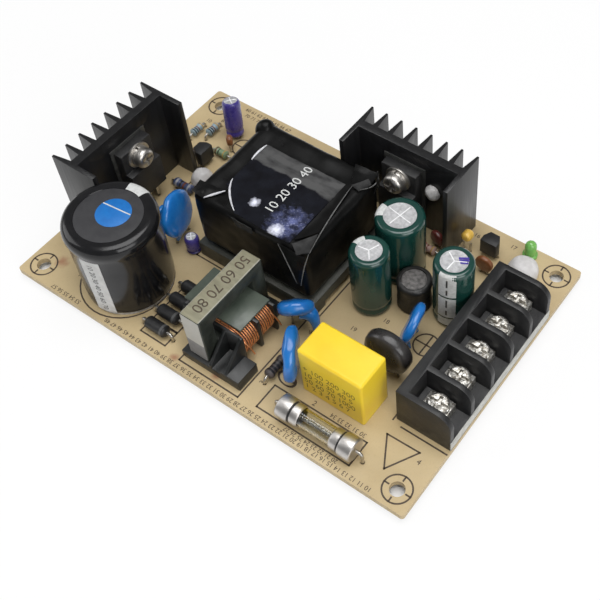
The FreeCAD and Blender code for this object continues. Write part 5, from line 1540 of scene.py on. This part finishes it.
@dataclass
class Choke:
    """The line choke: a standing core, a bobbin and two windings of copper wire."""

    axis_x: float = -1.5
    middle_z: float = 7.95
    half_width: float = 8.55
    half_height: float = 4.35
    corner: float = 4.0
    wire: float = 0.22
    turns: int = 8
    sections: tuple[Point, ...] = ((-27.3, -22.5), (-21.5, -16.7))
    tail_rows: Point = (-26.9, -17.1)
    tail_bend: tuple[Point, Point, Point] = ((6.6, 10.8), (10.2, 9.6), (9.4, 4.4))
    tail_drift: float = 1.4
    yoke_edge: float = 0.3
    foot_edge: float = 0.15
    figures: tuple[str, float, float, float] = ("50 60 70 80", -2.9, -13.3, 3.8)
    ink_thick: float = INK_THICK

    def loop(self, y: float, drift: float, grow: float) -> list[Vector]:
        """One turn of the winding.

        Args:
            y: where it starts.
            drift: how far it moves along Y in one turn.
            grow: how far it stands out.

        Returns:
            The points of its middle line.
        """
        half_w, half_h = self.half_width + grow, self.half_height + grow
        centres = [(1, 1), (-1, 1), (-1, -1), (1, -1)]
        points = []
        for k, (sx, sz) in enumerate(centres):
            for step in range(7):
                angle = math.pi / 2 * (k + step / 6)
                x = self.axis_x + sx * (half_w - self.corner) + self.corner * math.cos(angle)
                z = self.middle_z + sz * (half_h - self.corner) + self.corner * math.sin(angle)
                share = (k + step / 6) / 4
                points.append(Vector((x, y + drift * share, z)))
        return points

    def inner_layer(self, bm: Mesh, start: float, end: float) -> None:
        """The layer under a section of wire, from one Y to another, coloured dark as painted shade.
        """
        part = bmesh.new()
        half_w, half_h = self.half_width, self.half_height
        low = (self.axis_x - half_w, start, self.middle_z - half_h)
        add_block(part, low, (self.axis_x + half_w, end, self.middle_z + half_h))
        edges = [e for e in part.edges if abs(e.verts[0].co.y - e.verts[1].co.y) > 1.0]
        bmesh.ops.bevel(
            part, geom=edges, offset=self.corner, segments=8, profile=0.5,
            affect="EDGES", material=-1,
        )
        join(bm, part)

    def windings(self) -> None:
        """Copper wire wound in two sections over an inner layer in painted shade, a little uneven.
        """
        bm = bmesh.new()
        inner = bmesh.new()
        for section, (y0, y1) in enumerate(self.sections):
            pitch = (y1 - y0 - 2 * self.wire) / (self.turns - 1)
            for turn in range(self.turns):
                uneven = noise.noise(Vector((turn * 1.7, section * 9.1, 0.3)))
                start = y0 + self.wire + pitch * turn
                path = self.loop(start, 0.5 * pitch * uneven, 0.1 * uneven)
                sweep(bm, path, [self.wire], closed=True)
            self.inner_layer(inner, y0 + 0.1, y1 - 0.1)
        for y in self.tail_rows:
            top, bend, foot = (Vector((self.axis_x + x, y, z)) for x, z in self.tail_bend)
            foot.y += self.tail_drift
            sweep(bm, bow(top, bend, foot), [self.wire])
        make_piece(bm, "choke_wire", COPPER, ["choke_windings"], 60.0)
        make_piece(inner, "choke_inner_layer", SHADED_WINDING, smooth_degrees=60.0)

    def build(self) -> None:
        """Makes the choke."""
        self.windings()
        soft_copy("choke_core", "choke_yoke", CORE, Slot.CORE, self.yoke_edge, 3)
        text, x, y, size = self.figures
        place = stand(x, y, node_box("choke_core").high.z, -90.0)
        bm = written(text, size, self.ink_thick, place)
        make_piece(bm, "choke_print", INK)
        soft_copy("choke_bobbin", "choke_former", FOOT, Slot.BOBBIN, self.foot_edge)
        soft_copy("choke_plate", "choke_sheet", GREY_SHEET, Slot.SHEET, self.foot_edge)


@dataclass
class FilmCapacitor:
    """The yellow box capacitor: a moulded case with soft edges and rows of plain figures."""

    edge: float = 0.26
    ink_thick: float = 0.02
    row_size: float = 2.45
    row_start: float = 1.1
    rows: tuple[tuple[str, float], ...] = (
        ("+ 100 200 300", 9.1),
        ("10 20 30 40 5", 6.7),
        ("50 60 70 1000", 4.3),
        ("1 2 3 4 5 6 7", 2.0),
    )

    def build(self) -> None:
        """Makes the case and the print on its front."""
        soft_copy("film_capacitor", "film_case", YELLOW, Slot.YELLOW, self.edge, 3)
        box = node_box("film_capacitor")
        upright = Matrix.Rotation(math.radians(90.0), 4, "X")
        bm = bmesh.new()
        for row, height in self.rows:
            foot = stand(*(box.low + Vector((self.row_start, 0.0, height))))
            join(bm, written(row, self.row_size, self.ink_thick, foot @ upright))
        make_piece(bm, "film_print", CASE_INK)


@dataclass
class Fuse:
    """The glass fuse with stepped caps and a coiled element."""

    axis_y: float = -33.3
    axis_z: float = 6.5
    left: float = 22.4
    right: float = 43.0
    glass_radius: float = 2.3
    glass_wall: float = 0.45
    inner_radius: float = 2.6
    inner_long: float = 6.0
    outer_radius: float = 2.9
    outer_long: float = 3.4
    groove: float = 0.45
    coil_radius: float = 0.55
    coil_wire: float = 0.12
    coil_turns: int = 26
    coil_inset: float = 1.0
    thread_radius: float = 0.35
    glass_inset: float = 0.6

    def place(self, x: float) -> Matrix:
        """Turns a lathe piece to lie along X from a point on."""
        return stand(x, self.axis_y, self.axis_z) @ Axis.X.matrix()

    def glass(self) -> None:
        """The tube."""
        outer, inner = self.glass_radius, self.glass_radius - self.glass_wall
        long = self.right - self.left - 2 * self.glass_inset
        bm = bmesh.new()
        outline = [(inner, 0.0), (outer, 0.0), (outer, long / 2), (outer, long)]
        outline += [(inner, long), (inner, long / 2)]
        lathe(bm, outline, self.place(self.left + self.glass_inset), 48, closed=True)
        make_piece(bm, "fuse_tube", GLASS, ["fuse_glass"])

    def cap(self, bm: Mesh, place: Matrix) -> None:
        """A cap: a wide outer ring, a groove and a narrower band that is rolled in at its mouth."""
        wide, narrow, mouth = self.outer_radius, self.inner_radius, self.glass_radius + 0.02
        step, end = self.outer_long, self.inner_long
        outline = [(0.0, 0.25), (wide - 0.9, 0.12), (wide - 0.35, 0.0), (wide - 0.08, 0.2)]
        outline += [(wide, 0.55), (wide, step - 0.45), (wide - 0.12, step)]
        outline += [(narrow - 0.22, step + 0.06), (narrow - 0.22, step + 0.4)]
        outline += [(narrow, step + 0.55), (narrow, end - 0.5), (narrow - 0.12, end - 0.12)]
        outline += [(mouth, end), (mouth, 0.7), (0.0, 0.7)]
        lathe(bm, outline, place, 56)

    def caps(self) -> None:
        """Both caps."""
        bm = bmesh.new()
        self.cap(bm, self.place(self.left))
        self.cap(bm, stand(self.right, self.axis_y, self.axis_z, 180.0) @ Axis.X.matrix())
        make_piece(bm, "fuse_caps", CAP_METAL, ["fuse_end_caps", "fuse_inner_caps"])
        bm = bmesh.new()
        ring = band((self.glass_radius + 0.03, self.inner_radius - 0.04), (0.0, self.groove))
        for x in (self.left + self.outer_long, self.right - self.outer_long - self.groove):
            lathe(bm, ring, self.place(x), 48, closed=True)
        make_piece(bm, "fuse_grooves", EPOXY)

    def element(self) -> None:
        """The wire coiled round its thread."""
        x0, x1 = self.left + self.coil_inset, self.right - self.coil_inset
        steps = self.coil_turns * 10
        path = []
        for k in range(steps + 1):
            angle = math.tau * self.coil_turns * k / steps
            y = self.axis_y + self.coil_radius * math.cos(angle)
            z = self.axis_z + self.coil_radius * math.sin(angle)
            path.append(Vector((x0 + (x1 - x0) * k / steps, y, z)))
        bm = bmesh.new()
        sweep(bm, path, [self.coil_wire], sides=6)
        line = [Vector((x, self.axis_y, self.axis_z)) for x in (x0, (x0 + x1) / 2, x1)]
        sweep(bm, line, [self.thread_radius])
        make_piece(bm, "fuse_coil", TINNED, ["fuse_element"], 70.0)

    def build(self) -> None:
        """Makes the fuse."""
        self.glass()
        self.caps()
        self.element()


@dataclass(frozen=True)
class DippedDisc:
    """A disc dipped in resin, with its coated leads."""

    centre: Triple
    radius: float
    thick: float
    normal: Triple
    seed: float
    lead_pitch: float = 5.0
    neck: float = 1.1
    bulge: float = 0.25
    neck_sides: tuple[float, ...] = (-0.5, 0.5)
    neck_end: float = 0.45
    wave_share: float = 0.55

    def build_into(self, bm: Mesh) -> None:
        """Adds the disc and the resin that ran down its leads."""
        centre = Vector(self.centre)
        normal = Vector(self.normal).normalized()
        turned = stand(*centre) @ aim(tuple(normal))
        verts = lathe(bm, pill(self.radius, self.thick / 2), turned, 56)
        crumple(verts, self.radius * self.wave_share, self.bulge, self.seed)
        across = normal.cross(Vector((0, 0, 1))).normalized()
        down = across.cross(normal).normalized()
        if down.z > 0:
            down = -down
        for side in self.neck_sides:
            foot = centre + across * (side * self.lead_pitch)
            foot.z = BOARD_TOP + 1.2
            top = centre + down * (self.radius * 0.72) + across * (side * self.lead_pitch * 0.9)
            path = bow(top, top * 0.35 + foot * 0.65 + down * 0.3, foot)
            shares = [k / (len(path) - 1) for k in range(len(path))]
            radii = [self.neck * (1 - share) + self.neck_end * share for share in shares]
            sweep(bm, path, radii, sides=12)


@dataclass
class DippedDiscs:
    """The blue disc capacitors and the dark thermistor."""

    blue: tuple[DippedDisc, ...] = (
        DippedDisc((11.1, -13.1, 11.0), 4.4, 3.9, (-0.478, 0.616, 0.6245), 1.0, neck_sides=()),
        DippedDisc((18.2, -23.8, 11.2), 6.4, 3.5, (0.834, 0.548, -0.06), 2.0, bulge=0.55),
        DippedDisc((36.2, -1.4, 11.0), 5.4, 2.8, (0.926, 0.225, -0.312), 3.0),
        DippedDisc((-31.2, -7.5, 11.8), 6.2, 2.9, (0.95, 0.27, 0.156), 4.0),
    )
    tail: tuple[Triple, ...] = ((12.6, -12.4, 10.6), (15.6, -11.4, 10.2), (16.2, -12.6, 5.6))
    tail_radii: Point = (2.4, 0.8)
    thermistor: DippedDisc = DippedDisc(
        (36.0, -11.0, 11.3), 6.1, 5.0, (0.0, 1.0, 0.0), 5.0, bulge=0.2
    )

    def build(self) -> None:
        """Makes the discs."""
        bm = bmesh.new()
        for disc in self.blue:
            disc.build_into(bm)
        path = bow(*(Vector(point) for point in self.tail), 10)
        thick, thin = self.tail_radii
        sweep(bm, path, [thick + (thin - thick) * k / 10 for k in range(11)], sides=16)
        make_piece(bm, "blue_discs", BLUE_DIP, ["disc_capacitors"], 60.0)
        bm = bmesh.new()
        self.thermistor.build_into(bm)
        make_piece(bm, "dark_disc", BLACK_DIP, ["thermistor"], 60.0)


@dataclass(frozen=True)
class RoundCapacitor:
    """A round capacitor: a bright can in a shrunk sleeve, scored on its top."""

    foot: Triple
    radius: float
    height: float
    rim: float
    score_turn: float
    score_arms: int
    lean: Triple = (0.0, 0.0, 1.0)
    score_width: float = 0.28
    score_thick: float = 0.12
    sleeve_waves: Point = (3.0, 0.03)
    top_waves: Point = (2.0, 0.03)

    def place(self) -> Matrix:
        """Where the capacitor stands and how it leans."""
        return stand(*self.foot) @ aim(self.lean)

    def shoulder(self, foot: float = 0.0) -> list[Point]:
        """The rolled rim from the side to the can's top.

        Args:
            foot: the height that the capacitor's foot has.

        Returns:
            Points (radius, height).
        """
        r, h = self.radius, self.height + foot
        drops = ((0.0, 1.5), (0.08, 0.85), (0.3, 0.35), (0.65, 0.08), (1.0, 0.0))
        line = [(r - inward, h - down) for inward, down in drops if inward < self.rim]
        return [*line, (r - self.rim, h - 0.08)]

    def sleeve(self, bm: Mesh) -> None:
        """The sleeve, drawn in over the bead near its foot and rolled over the rim."""
        r, h = self.radius, self.height
        bead = min(2.2, h * 0.14)
        outline = [(0.0, 0.05), (r - 0.9, 0.05), (r - 0.25, 0.25), (r - 0.06, 0.8)]
        outline += [(r - 0.08, bead * 0.8), (r - 0.32, bead), (r - 0.3, bead + 0.35)]
        outline += [(r - 0.02, bead + 0.9), (r, bead + 1.6)]
        outline += self.shoulder()
        outline += [(r - self.rim - 0.02, h - 0.5), (0.0, h - 0.5)]
        verts = lathe(bm, outline, self.place(), 64)
        crumple(verts, *self.sleeve_waves, self.radius)

    def top(self, bm: Mesh) -> None:
        """The bright top, a little dished and domed between the score lines."""
        r = self.radius - self.rim + 0.05
        h = self.height
        outline = [(0.0, h - 0.6), (r, h - 0.6), (r, h - 0.16), (r - 0.25, h - 0.2)]
        outline += [(r * 0.5, h - 0.14), (0.0, h - 0.1)]
        verts = lathe(bm, outline, self.place(), 48)
        crumple(verts, *self.top_waves, self.height)

    def score(self, bm: Mesh) -> None:
        """The score lines, thin raised lips that meet in the middle."""
        reach = (self.radius - self.rim) * 0.86
        for arm in range(self.score_arms):
            turn = Matrix.Rotation(self.score_turn + math.tau * arm / self.score_arms, 4, "Z")
            shift = stand(reach / 2, 0.0, self.height - 0.1)
            size = Matrix.Diagonal((reach, self.score_width, self.score_thick, 1.0))
            place = self.place() @ turn @ shift @ size
            made = bmesh.ops.create_cube(bm, size=1.0, matrix=place)
            soften(bm, made["verts"], 0.03, 1)


@dataclass
class RoundCapacitors:
    """The three green output capacitors and the small violet ones."""

    green: tuple[RoundCapacitor, ...] = (
        RoundCapacitor((21.2, 2.9, 3.0), 4.9, 20.0, 1.7, 2.23, 3),
        RoundCapacitor((21.2, 15.4, 3.0), 6.1, 20.0, 2.1, 1.39, 4),
        RoundCapacitor((39.1, 11.1, 3.0), 4.9, 20.0, 1.6, 1.51, 3),
    )
    violet: tuple[RoundCapacitor, ...] = (
        RoundCapacitor((-43.0, 27.4, 3.9), 2.5, 11.0, 0.6, 0.3, 4, (-0.117, 0.151, 0.982)),
        RoundCapacitor((-25.6, -9.4, 3.0), 1.9, 5.6, 0.6, 0.8, 4),
    )
    rim_marks: tuple[tuple[int, float, float], ...] = ((0, 140.0, 42.0), (1, 172.0, 42.0))
    stripe_turn: float = 257.0
    stripe_sweep: float = 52.0
    stripe_blocks: tuple[Point, ...] = ((15.3, 21.55), (7.4, 14.7), (4.2, 6.8))
    dash_turn: float = 280.5
    dash_sweep: float = 5.0
    dashes: tuple[Point, ...] = ((18.9, 21.5), (16.0, 17.9), (11.2, 14.0), (8.2, 10.0))
    ink_line_size: Point = (0.5, 0.06)
    ink_lines: tuple[tuple[Point, Point], ...] = (
        ((39.5, 12.35), (41.5, 13.6)), ((39.9, 11.9), (41.9, 13.1)), ((40.5, 11.4), (42.1, 12.3)),
    )

    def family(
        self, group: Sequence[RoundCapacitor], name: str, finish: Finish
    ) -> None:
        """Makes a group of capacitors.

        Args:
            group: the capacitors.
            name: how the names of their pieces and CAD nodes start.
            finish: the finish of their sleeves.
        """
        parts = {"sleeve": bmesh.new(), "top": bmesh.new(), "score": bmesh.new()}
        for capacitor in group:
            capacitor.sleeve(parts["sleeve"])
            capacitor.top(parts["top"])
            capacitor.score(parts["score"])
        sleeves, cans = name + "_capacitor_sleeves", name + "_capacitor_cans"
        make_piece(parts["sleeve"], name + "_sleeves", finish, [sleeves], 50.0)
        make_piece(parts["top"], name + "_tops", ALUMINIUM, [cans], 50.0)
        make_piece(parts["score"], name + "_scores", SCORE)

    def marks(self) -> None:
        """The pale blocks on two rims, the stripe with dark dashes and the violet ink."""
        bm = bmesh.new()
        dark = bmesh.new()
        for index, turn, sweep_degrees in self.rim_marks:
            cap = self.green[index]
            skin = ink_skin(cap.shoulder(cap.foot[2]))
            arc_strip(bm, cap.foot[:2], skin, turn, sweep_degrees)
        cap = self.green[2]
        centre = cap.foot[:2]
        film = (cap.radius - 0.04, cap.radius + 0.03)
        ink = (film[1] - 0.01, film[1] + 0.02)
        blocks = [band(film, heights) for heights in self.stripe_blocks]
        for outline in (ink_skin(cap.shoulder(cap.foot[2])[:4]), *blocks):
            arc_strip(bm, centre, outline, self.stripe_turn, self.stripe_sweep)
        for heights in self.dashes:
            arc_strip(dark, centre, band(ink, heights), self.dash_turn, self.dash_sweep)
        make_piece(bm, "output_stripes", WHITE_INK)
        make_piece(dark, "output_dashes", BLACK_INK)
        bm = bmesh.new()
        level = cap.foot[2] + cap.height - 0.08
        for start, end in self.ink_lines:
            add_bar(bm, (*start, level), (*end, level), *self.ink_line_size)
        make_piece(bm, "output_ink_mark", VIOLET_INK)

    def build(self) -> None:
        """Makes all of them."""
        self.family(self.green, "output", GREEN_FILM)
        self.family(self.violet, "violet", VIOLET_FILM)
        self.marks()


@dataclass
class Drum:
    """The drum inductor in its black sleeve."""

    centre: Point = (29.7, 8.6)
    radius: float = 4.4
    rim: float = 1.35
    waves: Triple = (2.2, 0.14, 21.0)
    foot: float = 3.0
    top: float = 12.0

    def build(self) -> None:
        """Makes the sleeve and the ferrite top."""
        r, foot, top = self.radius, self.foot, self.top
        place = stand(*self.centre)
        bm = bmesh.new()
        outline = [(0.0, foot + 0.05), (r - 0.5, foot + 0.05), (r - 0.1, foot + 0.4)]
        outline += [(r - 0.15, foot + 2.0), (r - 0.3, foot + 4.5), (r - 0.12, top - 1.6)]
        outline += [(r, top - 1.0), (r - 0.2, top - 0.35), (r - 0.6, top - 0.02)]
        outline += [(r - 1.2, top - 0.04), (r - 1.4, top - 0.45), (0.0, top - 0.45)]
        verts = lathe(bm, outline, place, 48)
        crumple(verts, *self.waves)
        make_piece(bm, "drum_film", DULL_FILM, ["drum_sleeve"], 50.0)
        bm = bmesh.new()
        r -= self.rim
        outline = [(0, top - 0.5), (r, top - 0.5), (r, top - 0.22), (r - 0.2, top - 0.14)]
        lathe(bm, [*outline, (0, top - 0.12)], place, 40)
        make_piece(bm, "drum_end", DRUM_END, ["drum_core"])


@dataclass
class TerminalBlock:
    """The terminal block: black housing, worn plates and screws; its pale strip is the CAD node."""

    edge: float = 0.22
    plate_edge: float = 0.12
    screw_edge: float = 0.16

    def build(self) -> None:
        """Makes the block."""
        steel = (WORN_STEEL, Slot.STEEL)
        soft_copy("terminal_housing", "terminal_body", HOUSING, Slot.HOUSING, self.edge)
        soft_copy("terminal_plates", "terminal_tabs", *steel, self.plate_edge)
        soft_copy("terminal_screws", "terminal_heads", *steel, self.screw_edge, 3)


@dataclass
class Lamp:
    """The green indicator lamp with the dark cup inside it."""

    centre: Point = (45.7, 36.2)
    radius: float = 1.5
    flange: float = 1.9
    foot: float = 3.0
    top: float = 8.2
    posts: tuple[tuple[Triple, Triple], ...] = (
        ((45.05, 35.95, 3.3), (45.6, 36.45, 5.5)),
        ((45.85, 36.0, 3.3), (46.25, 36.4, 5.3)),
    )
    post_edge: float = 0.06
    cup_foot: Triple = (45.45, 36.2, 5.2)
    cup_outline: tuple[Point, ...] = (
        (0.0, 0.0), (0.5, 0.0), (0.75, 0.9), (0.7, 0.95), (0.45, 0.2), (0.0, 0.15),
    )

    def build(self) -> None:
        """Makes the lens and what shows inside it."""
        r, wide, foot, side = self.radius, self.flange, self.foot, self.top - self.radius
        bm = bmesh.new()
        outline = [(0.0, foot), (wide, foot), (wide, foot + 0.8), (wide - 0.15, foot + 0.95)]
        outline += [(r, foot + 1.0), (r, side), *dome(r, side, self.top, 7)]
        lathe(bm, outline, stand(*self.centre), 36)
        make_piece(bm, "lamp_lens", LENS, ["lamp"])
        bm = bmesh.new()
        for low, high in self.posts:
            add_block(bm, low, high, self.post_edge)
        lathe(bm, self.cup_outline, stand(*self.cup_foot), 24)
        make_piece(bm, "lamp_cup", TINNED)


@dataclass(frozen=True)
class AxialPart:
    """A resistor or diode lying on the board."""

    centre: Triple
    long: float
    radius: float
    axis: Axis
    waist: float

    def build_into(self, bm: Mesh) -> None:
        """Adds the turned body, from one end to the other."""
        r, long, waist = self.radius, self.long, self.radius * self.waist
        half = [(0.0, 0.0), (r * 0.45, 0.02), (r * 0.8, long * 0.03), (r, long * 0.09)]
        half += [(r, long * 0.2), (waist, long * 0.28)]
        outline = [*half, (waist, long * 0.5), *((x, long - z) for x, z in reversed(half))]
        start = stand(*self.centre) @ self.axis.matrix() @ stand(0, 0, -long / 2)
        lathe(bm, outline, start, 28, along=True)


@dataclass
class AxialParts:
    """The ringed resistors and the row of diodes."""

    small: Point = (4.0, 1.15)
    large: Point = (6.2, 1.3)
    lift: float = 0.4
    spots: tuple[tuple[float, float, bool, Axis, Finish], ...] = (
        (-52.6, 22.4, False, Axis.Y, GREY_BLUE_COAT),
        (-49.0, 24.8, False, Axis.Y, GREY_BLUE_COAT),
        (-47.4, 16.6, False, Axis.Y, VIOLET_RINGED_COAT),
        (-41.1, 19.3, False, Axis.X, GREEN_COAT),
        (-41.4, 4.5, True, Axis.X, BLUE_COAT),
        (14.3, -25.6, True, Axis.Y, DARK_COAT),
        (24.2, 23.0, False, Axis.X, PINK_COAT),
    )
    diode_rows: tuple[float, ...] = (-33.0, -28.7, -24.4, -20.1)
    diode_x: float = -16.0
    diode: Point = (6.4, 1.6)
    diode_lift: float = 0.5
    resistor_waist: float = 0.84

    def build(self) -> None:
        """Makes each kind as one piece."""
        groups: dict[Finish, Mesh] = {}
        for x, y, is_large, axis, finish in self.spots:
            long, radius = self.large if is_large else self.small
            centre = (x, y, BOARD_TOP + self.lift + radius)
            bm = groups.setdefault(finish, bmesh.new())
            AxialPart(centre, long, radius, axis, self.resistor_waist).build_into(bm)
        replaced = ["resistors"]
        for finish, bm in groups.items():
            make_piece(bm, f"resistor_{finish.name}", finish, replaced)
            replaced = []
        bm = bmesh.new()
        long, radius = self.diode
        for y in self.diode_rows:
            centre = (self.diode_x, y, BOARD_TOP + self.diode_lift + radius)
            AxialPart(centre, long, radius, Axis.X, 1.0).build_into(bm)
        make_piece(bm, "diode_bodies", DIODE_COAT, ["rectifier_diodes"])


@dataclass
class SmallParts:
    """The small dipped discs, the yellow bead and the moulded packages."""

    package_edge: float = 0.2
    discs: tuple[tuple[str, Finish, Slot, DippedDisc], ...] = (
        (
            "brown_a", BROWN_DIP, Slot.ORANGE,
            DippedDisc((38.9, 25.4, 6.4), 2.4, 1.8, (0.0, 1.0, 0.0), 31.0, 2.0, 0.55, 0.1),
        ),
        (
            "red_b", RED_DIP, Slot.ORANGE,
            DippedDisc((24.9, 25.8, 6.4), 2.16, 1.8, (0.25, 1.0, 0.0), 32.0, 2.0, 0.5, 0.1),
        ),
        (
            "brown_c", BROWN_DIP, Slot.ORANGE,
            DippedDisc((-40.9, 22.9, 6.4), 1.56, 1.8, (0.7, 0.7, 0.0), 33.0, 1.4, 0.45, 0.08),
        ),
        (
            "blue_d", BLUE_DIP, Slot.BLUE,
            DippedDisc((-38.3, -6.8, 6.4), 2.4, 1.8, (1.0, 0.1, 0.0), 34.0, 2.0, 0.55, 0.1),
        ),
        (
            "yellow_e", YELLOW_DIP, Slot.ORANGE,
            DippedDisc((31.6, 29.2, 8.5), 1.4, 2.8, (0.0, 1.0, 0.0), 35.0, 1.0, 0.32, 0.06, ()),
        ),
    )

    def build(self) -> None:
        """Makes the discs and softens the packages."""
        replaced = ["small_ceramic_parts"]
        for name, finish, slot, disc in self.discs:
            bm = bmesh.new()
            disc.build_into(bm)
            make_piece(bm, "small_" + name, finish, replaced, 60.0)
            replaced = []
        width = self.package_edge
        soft_copy("moulded_transistors", "moulded_packages", EPOXY, Slot.BLACK_RESIN, width)


@dataclass
class SiliconeBeads:
    """The blobs of white silicone that hold parts in place."""

    wave_shares: Point = (0.6, 0.09)
    beads: tuple[tuple[Triple, float, float, Triple, float], ...] = (
        ((47.0, 30.3, 3.0), 4.0, 4.6, (0.0, 0.0, 1.0), 41.0),
        ((-39.4, 9.4, 3.0), 3.0, 4.2, (0.0, 0.0, 1.0), 42.0),
        ((21.3, 29.4, 18.0), 2.1, 2.0, (0.0, -1.0, 0.0), 43.0),
    )

    def build(self) -> None:
        """Makes the blobs: domes with uneven feet."""
        bm = bmesh.new()
        for foot, radius, height, way, seed in self.beads:
            outline = [(0.0, 0.02), (radius * 0.96, 0.02), (radius, height * 0.12)]
            outline += dome(radius, height * 0.12, height * 0.98, 10, 0.8)
            verts = lathe(bm, outline, stand(*foot) @ aim(way), 40)
            crumple(verts, *(radius * share for share in self.wave_shares), seed)
        make_piece(bm, "silicone_blobs", SILICONE, ["silicone_beads"], 60.0)


# Studio


@dataclass
class Studio:
    """The floor, the lamps and the camera."""

    floor_size_mm: float = 4000.0
    shaded_half_mm: Point = (58.0, 38.0)
    lamps: tuple[tuple[str, Triple, float, float], ...] = (
        ("overhead_lamp", (60.0, 40.0, 750.0), 600.0, 4.7),
        ("left_lamp", (-650.0, -250.0, 420.0), 500.0, 1.6),
        ("right_lamp", (620.0, -250.0, 380.0), 500.0, 2.6),
    )
    sky_strength: float = 0.2
    camera_place: Triple = (115.6, -113.7, 211.9)
    turn: float = 37.77
    tilt: float = 51.35
    roll: float = -3.10
    focal_px: float = 1057.71
    middle_px: Point = (382.58, 245.42)
    image_px: float = 600.0
    sensor_mm: float = 36.0

    def floor(self) -> None:
        """A pale floor that shows white behind the object and keeps its shadow."""
        bm = bmesh.new()
        bmesh.ops.create_grid(bm, x_segments=1, y_segments=1, size=self.floor_size_mm / 2 * MM)
        mesh = bpy.data.meshes.new("floor")
        bm.to_mesh(mesh)
        bm.free()
        floor = bpy.data.objects.new("floor", mesh)
        bpy.context.scene.collection.objects.link(floor)
        mesh.materials.append(self.floor_material())

    def floor_material(self) -> bpy.types.Material:
        """A matt pale surface mixed with plain white light for what looks straight at it."""
        material = bpy.data.materials.new("pale_floor")
        nodes = Nodes(material)
        fill(nodes.shader, {"Base Color": (0.86, 0.86, 0.86, 1.0), "Roughness": 0.9})
        fill(nodes.shader, {"Specular IOR Level": 0.1})
        glow = nodes.add("Emission")
        fill(glow, {"Strength": 1.0})
        mix = nodes.add("MixShader")
        rays = nodes.add("LightPath")
        seen = nodes.maths("MAXIMUM", rays.outputs["Is Camera Ray"], rays.outputs["Is Glossy Ray"])
        seen = nodes.maths("MAXIMUM", seen, rays.outputs["Is Transmission Ray"])
        half_x, half_y = self.shaded_half_mm
        beside = nodes.maths("GREATER_THAN", nodes.maths("ABSOLUTE", nodes.axis("X")), half_x)
        behind = nodes.maths("GREATER_THAN", nodes.maths("ABSOLUTE", nodes.axis("Y")), half_y)
        outside = nodes.maths("MAXIMUM", beside, behind)
        share = nodes.maths("MULTIPLY", nodes.maths("MULTIPLY", seen, outside), 0.8)
        nodes.link(share, mix.inputs["Fac"])
        nodes.link(nodes.shader.outputs["BSDF"], mix.inputs[1])
        nodes.link(glow.outputs["Emission"], mix.inputs[2])
        nodes.link(mix.outputs["Shader"], nodes.output.inputs["Surface"])
        return material

    def lamp(self, name: str, place: Triple, size_mm: float, watts: float) -> None:
        """A soft square lamp that looks at the object's middle.

        Args:
            name: the lamp's name.
            place: where it hangs, in millimetres.
            size_mm: the length of its side.
            watts: its power.
        """
        data = bpy.data.lights.new(name, "AREA")
        data.shape = "SQUARE"
        data.size = size_mm * MM
        data.energy = watts
        lamp = bpy.data.objects.new(name, data)
        lamp.location = Vector(place) * MM
        lamp.rotation_mode = "QUATERNION"
        lamp.rotation_quaternion = Vector(place).to_track_quat("Z", "Y")
        bpy.context.scene.collection.objects.link(lamp)

    def light(self) -> None:
        """A large lamp overhead, a softer one at each side and pale surroundings."""
        for lamp in self.lamps:
            self.lamp(*lamp)
        world = bpy.data.worlds.new("surroundings")
        bpy.context.scene.world = world
        world.use_nodes = True
        ground = world.node_tree.nodes["Background"]
        fill(ground, {"Color": (1.0, 1.0, 1.0, 1.0), "Strength": self.sky_strength})

    def camera(self) -> None:
        """The camera, where the photograph was taken from."""
        a, e, r = (math.radians(v) for v in (self.turn, self.tilt, self.roll))
        back = Vector((math.sin(a) * math.cos(e), -math.cos(a) * math.cos(e), math.sin(e)))
        right = (-back).cross(Vector((0, 0, 1))).normalized()
        up = right.cross(-back)
        turned_right = right * math.cos(r) + up * math.sin(r)
        turned_up = up * math.cos(r) - right * math.sin(r)
        data = bpy.data.cameras.new("camera")
        data.sensor_width = self.sensor_mm
        data.lens = self.focal_px / self.image_px * self.sensor_mm
        data.shift_x = (self.image_px / 2 - self.middle_px[0]) / self.image_px
        data.shift_y = (self.middle_px[1] - self.image_px / 2) / self.image_px
        data.clip_start = 0.01
        data.clip_end = 20.0
        camera = bpy.data.objects.new("camera", data)
        bpy.context.scene.collection.objects.link(camera)
        place = Matrix((turned_right, turned_up, back)).transposed().to_4x4()
        camera.matrix_world = Matrix.Translation(Vector(self.camera_place) * MM) @ place
        bpy.context.scene.camera = camera

    def build(self) -> None:
        """Sets up the whole studio."""
        self.floor()
        self.light()
        self.camera()
        bpy.context.scene.view_settings.view_transform = "Standard"


def dress_nodes() -> None:
    """Gives each CAD node that still shows the finish of its slot."""
    for part in frame["record"]["subparts"]:
        node = frame["nodes"][part["node"]]
        node.data.materials.clear()
        node.data.materials.append(SLOT_FINISH[Slot(part["material_slot"])].build())
        LOG.info("dressed %s", part["node"])


def main() -> None:
    """Builds the power supply's looks and the studio."""
    logging.basicConfig(level=logging.INFO, format="%(name)s: %(message)s")
    noise.seed_set(NOISE_SEED)  # without it the waves of crumple follow the clock
    dress_nodes()
    for kind in (
        Board, Heatsinks, BulkCapacitor, Transformer, Choke, FilmCapacitor, Fuse, DippedDiscs,
        RoundCapacitors, Drum, TerminalBlock, Lamp, AxialParts, SmallParts, SiliconeBeads,
    ):
        kind().build()
        LOG.info("built %s", kind.__name__)
    Studio().build()


if __name__ == "__main__":
    main()
